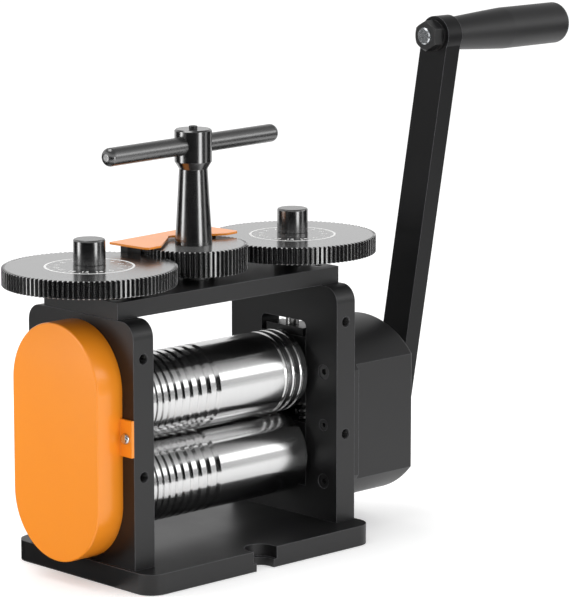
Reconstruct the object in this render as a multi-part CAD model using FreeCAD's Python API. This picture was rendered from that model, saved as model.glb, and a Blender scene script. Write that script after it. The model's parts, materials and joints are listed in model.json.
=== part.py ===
"""Jewellers rolling mill, hand cranked, in millimetres.

X runs along the rollers towards the crank, -Y is the feed side with the base's front
notch, +Z is up. The origin is the middle of the base plate's underside.
"""
import FreeCAD, Part
import math
import os

V = FreeCAD.Vector

# ---- driving dimensions -------------------------------------------------------------

# rollers
roller_radius = 20.0
roller_length = 112.0
roller_gap = 0.5                # daylight between the rollers at rest
lower_axis_height = 40.2
roller_edge_chamfer = 0.8
shoulder_radius = 13.5
journal_radius = 11.0
gear_seat_radius = 9.0

# V grooves for square wire, widest beside the flat zone
groove_count = 12
widest_groove_width = 3.3
groove_width_ratio = 0.885      # each groove over the one before
widest_groove_pitch = 6.4
groove_pitch_ratio = 0.926
first_groove_edge = -0.8
groove_half_angle = 45.0

# half round grooves at the crank end of the upper roller
half_round_radii = (1.2, 1.0, 0.8)
half_round_pitch = 4.9
half_round_end_margin = 4.6
half_round_steps = 4

# base plate
base_end_margin = 1.5           # past the side plates' outer faces
base_depth = 98.0
base_thickness = 9.8
base_corner_radius = 9.0
notch_slot_width = 11.0
notch_counterbore_width = 15.0
notch_counterbore_depth = 5.9
notch_centre_inset = 3.5

# side plates
plate_thickness = 12.0
plate_depth = 74.0
plate_height = 115.2
plate_corner_radius = 8.0
plate_inside_play = 2.5         # from the roller's end to the plate
window_width = 31.2
window_top_height = 106.0
window_corner_radius = 3.0

# top plate
top_plate_past_gear = 0.5       # from the centre gear's tips to the plate's edges
top_plate_thickness = 8.0
top_plate_inset = 0.3

# bearing blocks
block_side_play = 0.1
lower_block_height = 31.0
block_below_axis = 15.5
block_wall_share = 0.44         # of the window's height above the upper journal
thrust_pad_share = 0.28         # the rest is room to lift
thrust_pad_inset = 0.6
bearing_play = 0.05

# table holder holes in the side plates' front edges
front_hole_radius = 2.1
front_hole_depth = 12.0
front_hole_chamfer = 0.5
front_hole_heights = (53.0, 107.9)

# screw-down gears on top
dial_teeth = 106
centre_teeth = 66
dial_gear_bottom = 137.8
dial_gear_width = 8.3
centre_gear_bottom = 136.8
centre_gear_width = 12.2
gear_edge_chamfer = 0.35
adjust_gear_play = 0.10
dial_collar_radius = 9.5
dial_collar_gap = 1.0
dial_hub_radius = 7.6
dial_hub_height = 1.0
screw_radius = 4.0
screw_point_radius = 3.2
screw_point_length = 9.0
screw_nut_radius = 5.0
knob_radius = 7.45
knob_height = 11.8
knob_top_bevel = 0.8
knob_top_bevel_ratio = 0.3      # how far the bevel is bowed outwards
knob_bottom_bevel = 0.3

# tee handle
spindle_bottom_radius = 8.85
spindle_top_radius = 6.75
spindle_taper_length = 35.8
spindle_neck_length = 3.4
spindle_head_radius = 8.85
spindle_head_length = 15.3
spindle_edge = 0.7
spindle_journal_radius = 6.0
spindle_bush_wall = 3.0
spindle_hub_radius = 10.0
spindle_key_width = 3.0
spindle_key_half_depth = 1.5
cross_bar_radius = 4.35
cross_bar_length = 115.0
cross_bar_end_radius = 3.0
cross_bar_height = 196.0
cross_bar_turn = 4.6            # degrees about the spindle, as it rests
cross_bar_slide = 0.9           # its middle beyond the spindle's axis, to the left
set_screw_radius = 2.0
set_screw_socket_radius = 1.1
set_screw_stand = 1.4

# pointer over the dials
pointer_turn = 5.5              # degrees about the spindle, as it is clamped
pointer_length = 64.0
pointer_thickness = 1.0
pointer_front_y = -0.4
pointer_rear_inset = 1.25       # from the top plate's rear edge
pointer_front_corner_radius = 2.5
pointer_rear_corner_radius = 1.0
pointer_lift = 1.0              # underside above the centre gear
pointer_notch_half_width = 23.0
pointer_notch_flank_end_x = 4.0
pointer_notch_flank_end_y = 12.6
pointer_notch_bottom_y = 15.2
pointer_tab_height = 9.0
pointer_tab_inset = 1.5         # from the post's outer side
post_outer_x = 25.0
post_inner_x = 15.0
post_gear_gap = 0.9
post_screw_inset = 3.5          # from the post's outer side
post_screw_rear_inset = 2.6
post_screw_radius = 1.25
post_screw_head_radius = 2.1
post_screw_length = 13.0
pointer_screw_inset = 5.0
pointer_screw_radius = 1.25
pointer_screw_length = 4.2
pointer_screw_head_radius = 2.3
pointer_screw_head_height = 1.4

# gears between the rollers, at the left
sync_teeth = 16
sync_gear_width = 8.4
sync_gear_gap = 1.7             # from the plate's outer face
sync_gear_play = 0.16

# reduction gears in the housing, at the right
drive_module = 1.25
drive_gear_teeth = 28
pinion_teeth = 11
pinion_shift = 0.35
drive_gear_width = 24.0
drive_gear_play = 0.10
drive_gear_start = 3.5          # from the plate's outer face
pinion_extra_width = 0.5

# keys and retaining rings
key_width = 5.0
key_depth_in_shaft = 2.5
key_depth_in_gear = 2.0
fit_play = 0.02
ring_thickness = 1.2
ring_groove_depth = 0.8
ring_height = 2.4
shaft_tail = 1.2

# gear cover at the left
cover_half_width = 30.1
cover_centre_y = 1.0
cover_base_gap = 0.3
cover_top_height = 122.1
cover_depth = 15.0
cover_wall = 2.0
cover_edge_radius = 0.8
tab_height = 17.2
tab_middle_height = 71.6
tab_thickness = 1.5
cover_screw_radius = 1.25
cover_screw_head_radius = 2.6
cover_screw_head_height = 1.7
cover_screw_length = 9.0
cover_screw_top_ratio = 0.6     # flat top over head radius
cover_screw_dome_ratio = 0.55   # where the dome starts over head height

# gear housing at the right
housing_radius = 44.15
housing_centre_height = 56.75
housing_depth = 43.2
housing_flat_y = 33.8
housing_flange_y = 35.7
housing_flange_thickness = 4.2
housing_end_wall = 4.0
housing_cavity_radius = 21.5
housing_cavity_rise = 8.0       # cavity centre above the crank axis
housing_edge_radius = 1.2
boss_radius = 15.0
boss_length = 8.0
housing_screw_y = 27.8
housing_screw_heights = (29.0, 82.9)
housing_screw_radius = 2.0
housing_screw_head_radius = 3.5
housing_screw_head_height = 4.0
housing_screw_length = 20.0
housing_screw_sink = 0.4        # head below the plate's inner face
housing_screw_socket_depth = 2.0
dowel_radius = 1.5
dowel_head_radius = 2.75

# crank
crank_journal_radius = 7.5
crank_bush_wall = 2.5
crank_bush_length = 20.0
crank_collar_radius = 10.5
crank_arm_width = 17.1
crank_arm_thickness = 9.6
crank_arm_lean = 9.9            # degrees towards the feed side
crank_throw = 178.1
crank_arm_head_radius = 9.3
crank_arm_tail = 12.0
crank_arm_corner_radius = 5.0
arm_stand_off = 17.3            # arm's inner face from the housing's end
spigot_square = 11.0
spigot_recess = 3.4
arm_screw_radius = 3.0
arm_screw_head_radius = 6.0
arm_screw_length = 14.0

# turning hand grip
grip_length = 78.6
grip_small_radius = 7.8
grip_radius = 10.2
grip_cone_length = 37.0
grip_end_radius = 3.2
grip_bolt_radius = 4.0
grip_bore_play = 0.06
grip_bore_length = 56.0
grip_side_gap = 0.3
grip_groove_radius = 6.0
grip_bend_ratio = 0.5           # where the bend's middle point lies on the cone
grip_bend_radius = 9.08         # grip radius at that point
grip_bolt_bevel = 0.5
grip_bolt_collar_radius = 6.0
grip_bolt_collar_length = 2.0
nut_across_flats = 13.0
nut_thickness = 6.0
nut_washer_radius = 7.4
nut_washer_thickness = 1.0
nut_bevel_ratio = 0.6
bolt_past_nut = 1.1

# countersunk screws in the base and the top plate
frame_screw_y = 24.0
top_screw_y = 18.0
base_screw_radius = 3.0
base_screw_head_radius = 6.0
base_screw_length = 22.0
top_screw_radius = 2.5
top_screw_head_radius = 5.0
top_screw_length = 18.0
countersink_height_ratio = 0.95
screw_hole_play = 0.02
hex_key_ratio = 0.7             # key size over thread size

# lift springs between the bearing blocks
spring_wire_width = 1.2
spring_coil_radius = 2.9
spring_turns = 3.0
spring_pocket_depth = 1.0
spring_offset_y = 9.5

# ---- places worked out from them ----------------------------------------------------

upper_axis_height = lower_axis_height + 2 * roller_radius + roller_gap
plate_inner_x = roller_length / 2 + plate_inside_play
plate_outer_x = plate_inner_x + plate_thickness
base_length = 2 * (plate_outer_x + base_end_margin)
screw_x = plate_inner_x + plate_thickness / 2
plate_top = base_thickness + plate_height
top_plate_top = plate_top + top_plate_thickness
window_bottom = lower_axis_height - block_below_axis
lower_block_top = window_bottom + lower_block_height
upper_block_bottom = upper_axis_height - block_below_axis
space_over_journal = window_top_height - upper_axis_height - journal_radius
upper_block_top = window_top_height - (1 - block_wall_share) * space_over_journal
pad_top = upper_block_top + thrust_pad_share * space_over_journal
adjust_module = 2 * screw_x / (dial_teeth + centre_teeth)
dial_gear_top = dial_gear_bottom + dial_gear_width
centre_gear_top = centre_gear_bottom + centre_gear_width
knob_bottom = dial_gear_top + dial_hub_height
spindle_neck_bottom = centre_gear_top + spindle_taper_length
spindle_head_bottom = spindle_neck_bottom + spindle_neck_length
spindle_top = spindle_head_bottom + spindle_head_length
centre_gear_tip = adjust_module * (centre_teeth / 2 + 1)
dial_gear_tip = adjust_module * (dial_teeth / 2 + 1)
top_plate_depth = 2 * (centre_gear_tip + top_plate_past_gear)
pointer_bottom = centre_gear_top + pointer_lift
pointer_rear_y = top_plate_depth / 2 - pointer_rear_inset
post_rear_y = pointer_rear_y - pointer_thickness
sync_module = 2 * roller_radius / sync_teeth
sync_gear_inner_x = plate_outer_x + sync_gear_gap
sync_gear_outer_x = sync_gear_inner_x + sync_gear_width
crank_axis_height = lower_axis_height + drive_module * (drive_gear_teeth + pinion_teeth) / 2
drive_gear_x = plate_outer_x + drive_gear_start
housing_end_x = plate_outer_x + housing_depth
boss_end_x = housing_end_x + boss_length
bush_start_x = boss_end_x - crank_bush_length
arm_inner_x = housing_end_x + arm_stand_off
arm_outer_x = arm_inner_x + crank_arm_thickness
cover_outer_x = plate_outer_x + cover_depth
cover_low_centre = base_thickness + cover_base_gap + cover_half_width
cover_high_centre = cover_top_height - cover_half_width


# ---- general shapes -----------------------------------------------------------------

def block(x0, x1, y0, y1, z0, z1):
    return Part.makeBox(x1 - x0, y1 - y0, z1 - z0, V(x0, y0, z0))


def rod_x(radius, x0, x1, y=0.0, z=0.0):
    return Part.makeCylinder(radius, x1 - x0, V(x0, y, z), V(1, 0, 0))


def rod_y(radius, y0, y1, x, z):
    return Part.makeCylinder(radius, y1 - y0, V(x, y0, z), V(0, 1, 0))


def rod_z(radius, z0, z1, x=0.0, y=0.0):
    return Part.makeCylinder(radius, z1 - z0, V(x, y, z0), V(0, 0, 1))


def prism(points, direction):
    """Straight-sided solid from a closed outline of vectors."""
    return Part.Face(Part.makePolygon(points + points[:1])).extrude(direction)


def turned_x(profile, z, y=0.0):
    """Turned part about an axis along X, from (x, radius) points that start and end on it."""
    points = [V(x, y, z + r) for x, r in profile]
    face = Part.Face(Part.makePolygon(points + points[:1]))
    return face.revolve(V(0, y, z), V(1, 0, 0), 360)


def turned_z(profile, x=0.0, y=0.0):
    """Turned part about a vertical axis, from (radius, z) points that start and end on it."""
    points = [V(x + r, y, z) for r, z in profile]
    face = Part.Face(Part.makePolygon(points + points[:1]))
    return face.revolve(V(x, y, 0), V(0, 0, 1), 360)


def hexagon_x(across_flats, x0, x1, y, z):
    corner = across_flats / math.sqrt(3)
    ring = [math.radians(60 * i + 30) for i in range(6)]
    points = [V(x0, y + corner * math.cos(a), z + corner * math.sin(a)) for a in ring]
    return prism(points, V(x1 - x0, 0, 0))


def hexagon_z(across_flats, z0, z1, x, y):
    corner = across_flats / math.sqrt(3)
    ring = [math.radians(60 * i) for i in range(6)]
    points = [V(x + corner * math.cos(a), y + corner * math.sin(a), z0) for a in ring]
    return prism(points, V(0, 0, z1 - z0))


def mirror_x(shape):
    return shape.mirror(V(0, 0, 0), V(1, 0, 0))


def mirror_y(shape):
    return shape.mirror(V(0, 0, 0), V(0, 1, 0))


def save(name, *solids):
    """Write one node. Like pieces that share a node stay separate solids."""
    shape = solids[0] if len(solids) == 1 else Part.makeCompound(list(solids))
    shape.exportStep("parts/" + name + ".step")
    print(name, len(shape.Solids), "solid(s), volume", round(shape.Volume, 1), shape.isValid())


# ---- gears --------------------------------------------------------------------------

PRESSURE_ANGLE = math.radians(20)


def involute(angle):
    return math.tan(angle) - angle


def gear_outline(teeth, module, first_tooth, play, shift=0.0, flank_steps=1):
    """(u, v) corners of a spur gear with involute flanks; first_tooth in degrees."""
    pitch_radius = module * teeth / 2
    base_radius = pitch_radius * math.cos(PRESSURE_ANGLE)
    root_radius = pitch_radius - module * (1.25 - shift)
    tip_radius = pitch_radius + module * (1 + shift)
    flank_start = max(base_radius, root_radius)
    half_pitch_angle = (math.pi / 2 + 2 * shift * math.tan(PRESSURE_ANGLE)) / teeth
    half_pitch_angle -= play / 2 / (2 * pitch_radius)
    flank = []
    for i in range(flank_steps + 1):
        radius = flank_start + (tip_radius - flank_start) * i / flank_steps
        roll = involute(math.acos(min(1.0, base_radius / radius)))
        flank.append((radius, half_pitch_angle + involute(PRESSURE_ANGLE) - roll))
    if root_radius < base_radius:
        flank.insert(0, (root_radius, flank[0][1]))
    corners = []
    for tooth in range(teeth):
        middle = math.radians(first_tooth) + 2 * math.pi * tooth / teeth
        for radius, half in flank:
            corners.append((radius * math.cos(middle - half), radius * math.sin(middle - half)))
        for radius, half in reversed(flank):
            corners.append((radius * math.cos(middle + half), radius * math.sin(middle + half)))
    return corners


def gear_x(teeth, module, x0, x1, z, first_tooth, play, shift=0.0, flank_steps=3):
    """Gear on an axis along X, angles from +Y towards +Z."""
    outline = gear_outline(teeth, module, first_tooth, play, shift, flank_steps)
    return prism([V(x0, u, z + v) for u, v in outline], V(x1 - x0, 0, 0))


def gear_z(teeth, module, z0, z1, x, first_tooth, play):
    """Gear on a vertical axis with the corners of its teeth broken at both ends."""
    outline = gear_outline(teeth, module, first_tooth, play)
    body = prism([V(x + u, v, z0) for u, v in outline], V(0, 0, z1 - z0))
    tip = module * (teeth / 2 + 1)
    cut = gear_edge_chamfer
    limit = turned_z([(0, z0), (tip - cut, z0), (tip + cut, z0 + 2 * cut),
                      (tip + cut, z1 - 2 * cut), (tip - cut, z1), (0, z1)], x)
    return body.common(limit)


def meshed_tooth(direction, driver_teeth, driver_tooth, teeth):
    """First tooth of a gear that meshes with a driver, seen from the driver in direction."""
    turned = (direction - driver_tooth) * driver_teeth / teeth
    return direction + 180 + 180 / teeth + turned


# ---- rollers ------------------------------------------------------------------------

def barrel_profile(half_round):
    """(x, radius) points of a roller's working length, from left to right."""
    half = roller_length / 2
    points = [(-half, roller_radius - roller_edge_chamfer)]
    points.append((-half + roller_edge_chamfer, roller_radius))
    grooves = []
    edge = first_groove_edge
    pitch = widest_groove_pitch
    width = widest_groove_width
    for _ in range(groove_count):
        depth = width / 2 / math.tan(math.radians(groove_half_angle))
        grooves.append([(edge - width, roller_radius),
                        (edge - width / 2, roller_radius - depth),
                        (edge, roller_radius)])
        edge -= pitch
        pitch *= groove_pitch_ratio
        width *= groove_width_ratio
    for groove in reversed(grooves):
        points.extend(groove)
    if half_round:
        last = len(half_round_radii) - 1
        for i, radius in enumerate(half_round_radii):
            middle = half - half_round_end_margin - half_round_pitch * (last - i)
            for step in range(half_round_steps + 1):
                angle = math.pi * step / half_round_steps
                points.append((middle - radius * math.cos(angle),
                               roller_radius - radius * math.sin(angle)))
    points.append((half - roller_edge_chamfer, roller_radius))
    points.append((half, roller_radius - roller_edge_chamfer))
    return points


def shoulder_end():
    return plate_inner_x - grip_side_gap


def ringed_shaft_end(x_seat_end):
    """(x, radius) points of a gear seat's end with its retaining ring groove."""
    groove = x_seat_end + fit_play
    seat = gear_seat_radius
    return [(groove, seat), (groove, seat - ring_groove_depth),
            (groove + ring_thickness, seat - ring_groove_depth),
            (groove + ring_thickness, seat), (groove + ring_thickness + shaft_tail, seat)]


def left_end_profile():
    """The end that carries a gear outside the left plate, listed from the left."""
    tail = [(-x, r) for x, r in reversed(ringed_shaft_end(sync_gear_outer_x))]
    start = [(tail[0][0], 0.0)] + tail
    start += [(-sync_gear_inner_x, gear_seat_radius), (-sync_gear_inner_x, journal_radius)]
    start += [(-shoulder_end(), journal_radius), (-shoulder_end(), shoulder_radius)]
    return start + [(-roller_length / 2, shoulder_radius)]


def lower_roller():
    end = [(roller_length / 2, shoulder_radius), (shoulder_end(), shoulder_radius)]
    end += [(shoulder_end(), journal_radius), (drive_gear_x, journal_radius)]
    end += [(drive_gear_x, gear_seat_radius)]
    end += ringed_shaft_end(drive_gear_x + drive_gear_width)
    end.append((end[-1][0], 0.0))
    profile = left_end_profile() + barrel_profile(False) + end
    shape = turned_x(profile, lower_axis_height)
    shape = shape.cut(key_slot(-sync_gear_outer_x, -sync_gear_inner_x, lower_axis_height))
    drive_end = drive_gear_x + drive_gear_width
    return shape.cut(key_slot(drive_gear_x, drive_end, lower_axis_height))


def upper_roller():
    end = [(roller_length / 2, shoulder_radius), (shoulder_end(), shoulder_radius)]
    end += [(shoulder_end(), journal_radius), (plate_outer_x, journal_radius)]
    end.append((plate_outer_x, 0.0))
    profile = left_end_profile() + barrel_profile(True) + end
    shape = turned_x(profile, upper_axis_height)
    return shape.cut(key_slot(-sync_gear_outer_x, -sync_gear_inner_x, upper_axis_height))


def key_slot(x0, x1, axis_height, play=0.0):
    """Space of a key on a gear seat, on the -Y side of the shaft."""
    inner = -(gear_seat_radius - key_depth_in_shaft + play)
    outer = -(gear_seat_radius + key_depth_in_gear - play)
    half = key_width / 2 - play
    return block(x0, x1, outer, inner, axis_height - half, axis_height + half)


def gear_key(x0, x1, axis_height):
    return key_slot(x0 + fit_play, x1 - fit_play, axis_height, fit_play)


def seat_gear(gear, x0, x1, axis_height):
    """Bore and keyway of a gear that sits on a roller's end."""
    gear = gear.cut(rod_x(gear_seat_radius + fit_play, x0, x1, 0, axis_height))
    return gear.cut(key_slot(x0, x1, axis_height))


def retaining_ring(groove_x, axis_height):
    """Open ring that snaps into a shaft's groove, its gap at the top."""
    inner = gear_seat_radius - ring_groove_depth + fit_play
    x0 = groove_x + fit_play
    x1 = groove_x + ring_thickness - fit_play
    ring = rod_x(inner + ring_height, x0, x1, 0, axis_height)
    ring = ring.cut(rod_x(inner, x0, x1, 0, axis_height))
    half_gap = ring_height / 2
    return ring.cut(block(x0, x1, -half_gap, half_gap, axis_height, axis_height + 2 * inner))


def sync_gear(axis_height, first_tooth):
    x0 = -sync_gear_outer_x
    x1 = -sync_gear_inner_x - fit_play
    gear = gear_x(sync_teeth, sync_module, x0, x1, axis_height, first_tooth, sync_gear_play)
    return seat_gear(gear, x0, x1, axis_height)


def drive_gear():
    x0 = drive_gear_x + fit_play
    x1 = drive_gear_x + drive_gear_width
    gear = gear_x(drive_gear_teeth, drive_module, x0, x1, lower_axis_height, 90.0,
                  drive_gear_play, -pinion_shift)
    return seat_gear(gear, x0, x1, lower_axis_height)


# ---- frame --------------------------------------------------------------------------

def countersunk_screw(radius, head_radius, length, x, y, z_face, up):
    """Flat head screw with its head flush at z_face, pointing up or down."""
    cone = (head_radius - radius) * countersink_height_ratio
    sign = 1 if up else -1
    profile = [(0, z_face), (head_radius, z_face), (radius, z_face + sign * cone),
               (radius, z_face + sign * length), (0, z_face + sign * length)]
    screw = turned_z(profile, x, y)
    low = min(z_face, z_face + sign * cone)
    return screw.cut(hexagon_z(hex_key_ratio * 2 * radius, low, low + cone, x, y))


def countersunk_hole(radius, head_radius, length, x, y, z_face, up):
    play = screw_hole_play
    cone = (head_radius - radius) * countersink_height_ratio
    sign = 1 if up else -1
    profile = [(0, z_face), (head_radius + play, z_face), (radius + play, z_face + sign * cone),
               (radius + play, z_face + sign * (length + play)),
               (0, z_face + sign * (length + play))]
    return turned_z(profile, x, y)


def base_screw_places():
    return [(sx * screw_x, sy * frame_screw_y) for sx in (-1, 1) for sy in (-1, 1)]


def top_screw_places():
    return [(sx * screw_x, sy * top_screw_y) for sx in (-1, 1) for sy in (-1, 1)]


def base_holes():
    size = (base_screw_radius, base_screw_head_radius, base_screw_length)
    return [countersunk_hole(*size, x, y, 0, True) for x, y in base_screw_places()]


def top_holes():
    size = (top_screw_radius, top_screw_head_radius, top_screw_length)
    return [countersunk_hole(*size, x, y, top_plate_top, False) for x, y in top_screw_places()]


def bench_notch():
    """Open slot for a bench bolt at the front edge, with a step for its head."""
    centre_y = -base_depth / 2 + notch_centre_inset
    floor = base_thickness - notch_counterbore_depth
    cuts = []
    for width, bottom in ((notch_slot_width, 0.0), (notch_counterbore_width, floor)):
        half = width / 2
        cuts.append(rod_z(half, bottom, base_thickness, 0, centre_y))
        cuts.append(block(-half, half, -base_depth / 2, centre_y, bottom, base_thickness))
    return cuts


def base_plate():
    half_x = base_length / 2
    half_y = base_depth / 2
    shape = block(-half_x, half_x, -half_y, half_y, 0, base_thickness)
    upright = [e for e in shape.Edges if abs(e.Length - base_thickness) < 0.01
               and abs(e.BoundBox.ZLength - base_thickness) < 0.01]
    shape = shape.makeFillet(base_corner_radius, upright)
    front = bench_notch()
    rear = [mirror_y(cut) for cut in front]
    return shape.cut(front + rear + base_holes())


def front_holes():
    """Tapped holes in the right plate's front edge, with broken mouths."""
    cuts = []
    mouth = -plate_depth / 2
    for height in front_hole_heights:
        cuts.append(rod_y(front_hole_radius, mouth, mouth + front_hole_depth, screw_x, height))
        cone = Part.makeCone(front_hole_radius + front_hole_chamfer, front_hole_radius,
                             front_hole_chamfer, V(screw_x, mouth, height), V(0, 1, 0))
        cuts.append(cone)
    return cuts


def side_plate():
    """The right side plate before the holes that only one side has."""
    half = plate_depth / 2
    shape = block(plate_inner_x, plate_outer_x, -half, half, base_thickness, plate_top)
    corners = [e for e in shape.Edges if e.BoundBox.XLength > plate_thickness - 0.01
               and e.BoundBox.ZMin > plate_top - 0.01]
    shape = shape.makeFillet(plate_corner_radius, corners)
    half_window = window_width / 2
    window = block(plate_inner_x, plate_outer_x, -half_window, half_window,
                   window_bottom, window_top_height)
    top_corners = [e for e in window.Edges if e.BoundBox.XLength > plate_thickness - 0.01
                   and e.BoundBox.ZMin > window_top_height - 0.01]
    window = window.makeFillet(window_corner_radius, top_corners)
    screw_hole = rod_z(screw_radius + bearing_play, window_top_height, plate_top, screw_x)
    return shape.cut([window, screw_hole] + front_holes() + base_holes() + top_holes())


def housing_screw_places():
    return [(sy * housing_screw_y, z) for sy in (-1, 1) for z in housing_screw_heights]


def dowel_places():
    return [(sy * housing_screw_y, housing_centre_height) for sy in (-1, 1)]


def socket_screw(radius, head_radius, y, z):
    """Socket head screw from the plate's inner face, head just below the surface."""
    head_start = plate_inner_x + housing_screw_sink
    head_end = head_start + housing_screw_head_height
    end = plate_inner_x + housing_screw_length
    screw = rod_x(head_radius, head_start, head_end, y, z)
    screw = screw.fuse(rod_x(radius, head_end, end, y, z)).removeSplitter()
    socket_end = head_start + housing_screw_socket_depth
    return screw.cut(hexagon_x(hex_key_ratio * 2 * radius, head_start, socket_end, y, z))


def socket_screw_hole(radius, head_radius, y, z):
    play = screw_hole_play
    head_end = plate_inner_x + housing_screw_sink + housing_screw_head_height
    end = plate_inner_x + housing_screw_length + play
    counterbore = rod_x(head_radius + bearing_play, plate_inner_x, head_end + play, y, z)
    return [counterbore, rod_x(radius + play, head_end, end, y, z)]


def housing_holes():
    cuts = []
    for y, z in housing_screw_places():
        cuts += socket_screw_hole(housing_screw_radius, housing_screw_head_radius, y, z)
    for y, z in dowel_places():
        cuts += socket_screw_hole(dowel_radius, dowel_head_radius, y, z)
    return cuts


def cover_screw_hole(y):
    play = screw_hole_play
    start = -plate_outer_x - tab_thickness
    end = start + cover_screw_length + play
    return rod_x(cover_screw_radius + play, start, end, y, tab_middle_height)


def cover_screw_ys():
    """Middles of the tab's two ends that show beside the cover."""
    reach = plate_depth / 2
    front = cover_centre_y - cover_half_width
    rear = cover_centre_y + cover_half_width
    return (front - reach) / 2, (rear + reach) / 2


def right_side_plate():
    return side_plate().cut(housing_holes())


def left_side_plate():
    return mirror_x(side_plate()).cut([cover_screw_hole(y) for y in cover_screw_ys()])


def top_plate():
    half_x = plate_outer_x - top_plate_inset
    half_y = top_plate_depth / 2
    shape = block(-half_x, half_x, -half_y, half_y, plate_top, top_plate_top)
    bores = [rod_z(screw_nut_radius + fit_play, plate_top, top_plate_top, side * screw_x)
             for side in (-1, 1)]
    bush = spindle_journal_radius + spindle_bush_wall + fit_play
    bores.append(rod_z(bush, plate_top, top_plate_top))
    posts = [post_screw_hole(side) for side in (-1, 1)]
    return shape.cut(bores + posts + top_holes())


def screw_nut(side):
    """Threaded bronze bush in the top plate that a pressure screw turns in."""
    nut = rod_z(screw_nut_radius, plate_top, top_plate_top, side * screw_x)
    return nut.cut(rod_z(screw_radius + bearing_play, plate_top, top_plate_top, side * screw_x))


def spindle_bush():
    outer = spindle_journal_radius + spindle_bush_wall
    bush = rod_z(outer, plate_top, top_plate_top)
    return bush.cut(rod_z(spindle_journal_radius + bearing_play, plate_top, top_plate_top))


def bearing_block(z0, z1, axis_height, springs_on_top):
    """Block in the right plate's window, with pockets that locate the springs."""
    half = window_width / 2 - block_side_play
    shape = block(plate_inner_x, plate_outer_x, -half, half, z0, z1)
    bore = rod_x(journal_radius + bearing_play, plate_inner_x, plate_outer_x, 0, axis_height)
    return shape.cut([bore] + spring_pockets(z0, z1, springs_on_top))


def spring_pockets(z0, z1, springs_on_top):
    radius = spring_coil_radius + spring_wire_width
    depth = spring_pocket_depth
    base = z1 - depth if springs_on_top else z0
    return [rod_z(radius, base, base + depth, screw_x, side * spring_offset_y)
            for side in (-1, 1)]


def lower_block():
    return bearing_block(window_bottom, lower_block_top, lower_axis_height, True)


def upper_block():
    return bearing_block(upper_block_bottom, upper_block_top, upper_axis_height, False)


def thrust_pad():
    half = window_width / 2 - window_corner_radius
    return block(plate_inner_x + thrust_pad_inset, plate_outer_x - thrust_pad_inset,
                 -half, half, upper_block_top, pad_top)


def lift_spring(x, y):
    """Square wire coil spring that presses the upper blocks up against the screws."""
    half = spring_wire_width / 2
    bottom = lower_block_top - spring_pocket_depth + fit_play + half
    top = upper_block_bottom + spring_pocket_depth - fit_play - half
    helix = Part.makeHelix((top - bottom) / spring_turns, top - bottom, spring_coil_radius)
    inner = spring_coil_radius - half
    outer = spring_coil_radius + half
    corners = [V(inner, 0, -half), V(outer, 0, -half), V(outer, 0, half), V(inner, 0, half)]
    section = Part.makePolygon(corners + corners[:1])
    coil = Part.Wire(helix.Edges).makePipeShell([section], True, True)
    coil.translate(V(x, y, bottom))
    return coil


# ---- screw-down gear, pressure screws and tee handle --------------------------------

def pressure_screw(side):
    """Screw with a turned-down point that presses on the thrust pad."""
    x = side * screw_x
    tip = pad_top + bearing_play
    point_end = tip + screw_point_length
    profile = [(0, tip), (screw_point_radius, tip), (screw_point_radius, point_end),
               (screw_radius, point_end + screw_radius - screw_point_radius),
               (screw_radius, knob_bottom + knob_height / 2), (0, knob_bottom + knob_height / 2)]
    return turned_z(profile, x)


def dial_gear(side, first_tooth):
    """Large gear with the dial on its face, a collar below and a hub above."""
    x = side * screw_x
    gear = gear_z(dial_teeth, adjust_module, dial_gear_bottom, dial_gear_top, x,
                  first_tooth, adjust_gear_play)
    collar = rod_z(dial_collar_radius, top_plate_top + dial_collar_gap, dial_gear_bottom, x)
    hub = rod_z(dial_hub_radius, dial_gear_top, knob_bottom, x)
    shape = gear.fuse([collar, hub]).removeSplitter()
    bore = rod_z(screw_radius + fit_play, top_plate_top + dial_collar_gap, knob_bottom, x)
    return shape.cut(bore)


def knob(side):
    """Round cap that locks a dial gear on its screw."""
    x = side * screw_x
    top = knob_bottom + knob_height
    edge = knob_top_bevel
    bow = knob_top_bevel_ratio * edge
    low = knob_bottom_bevel
    profile = [(0, knob_bottom), (knob_radius - low, knob_bottom),
               (knob_radius, knob_bottom + low), (knob_radius, top - edge),
               (knob_radius - bow, top - bow), (knob_radius - edge, top), (0, top)]
    cap = turned_z(profile, x)
    socket = rod_z(screw_radius + fit_play, knob_bottom, knob_bottom + knob_height / 2 + fit_play, x)
    return cap.cut(socket)


def centre_gear():
    gear = gear_z(centre_teeth, adjust_module, centre_gear_bottom, centre_gear_top, 0,
                  0.0, adjust_gear_play)
    hub_bottom = top_plate_top + bearing_play
    shape = gear.fuse(rod_z(spindle_hub_radius, hub_bottom, centre_gear_bottom))
    shape = shape.removeSplitter()
    bore = rod_z(spindle_journal_radius + fit_play, hub_bottom, centre_gear_top)
    return shape.cut([bore, spindle_key_space()])


def spindle_key_space(play=0.0):
    half = spindle_key_width / 2 - play
    inner = spindle_journal_radius - spindle_key_half_depth + play
    outer = spindle_journal_radius + spindle_key_half_depth - play
    return block(inner, outer, -half, half, centre_gear_bottom + play, centre_gear_top - play)


def about_spindle(shape, angle):
    shape = shape.copy()
    shape.rotate(V(0, 0, 0), V(0, 0, 1), angle)
    return shape


def spindle_ring_top():
    return plate_top - fit_play - ring_thickness - bearing_play


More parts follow.
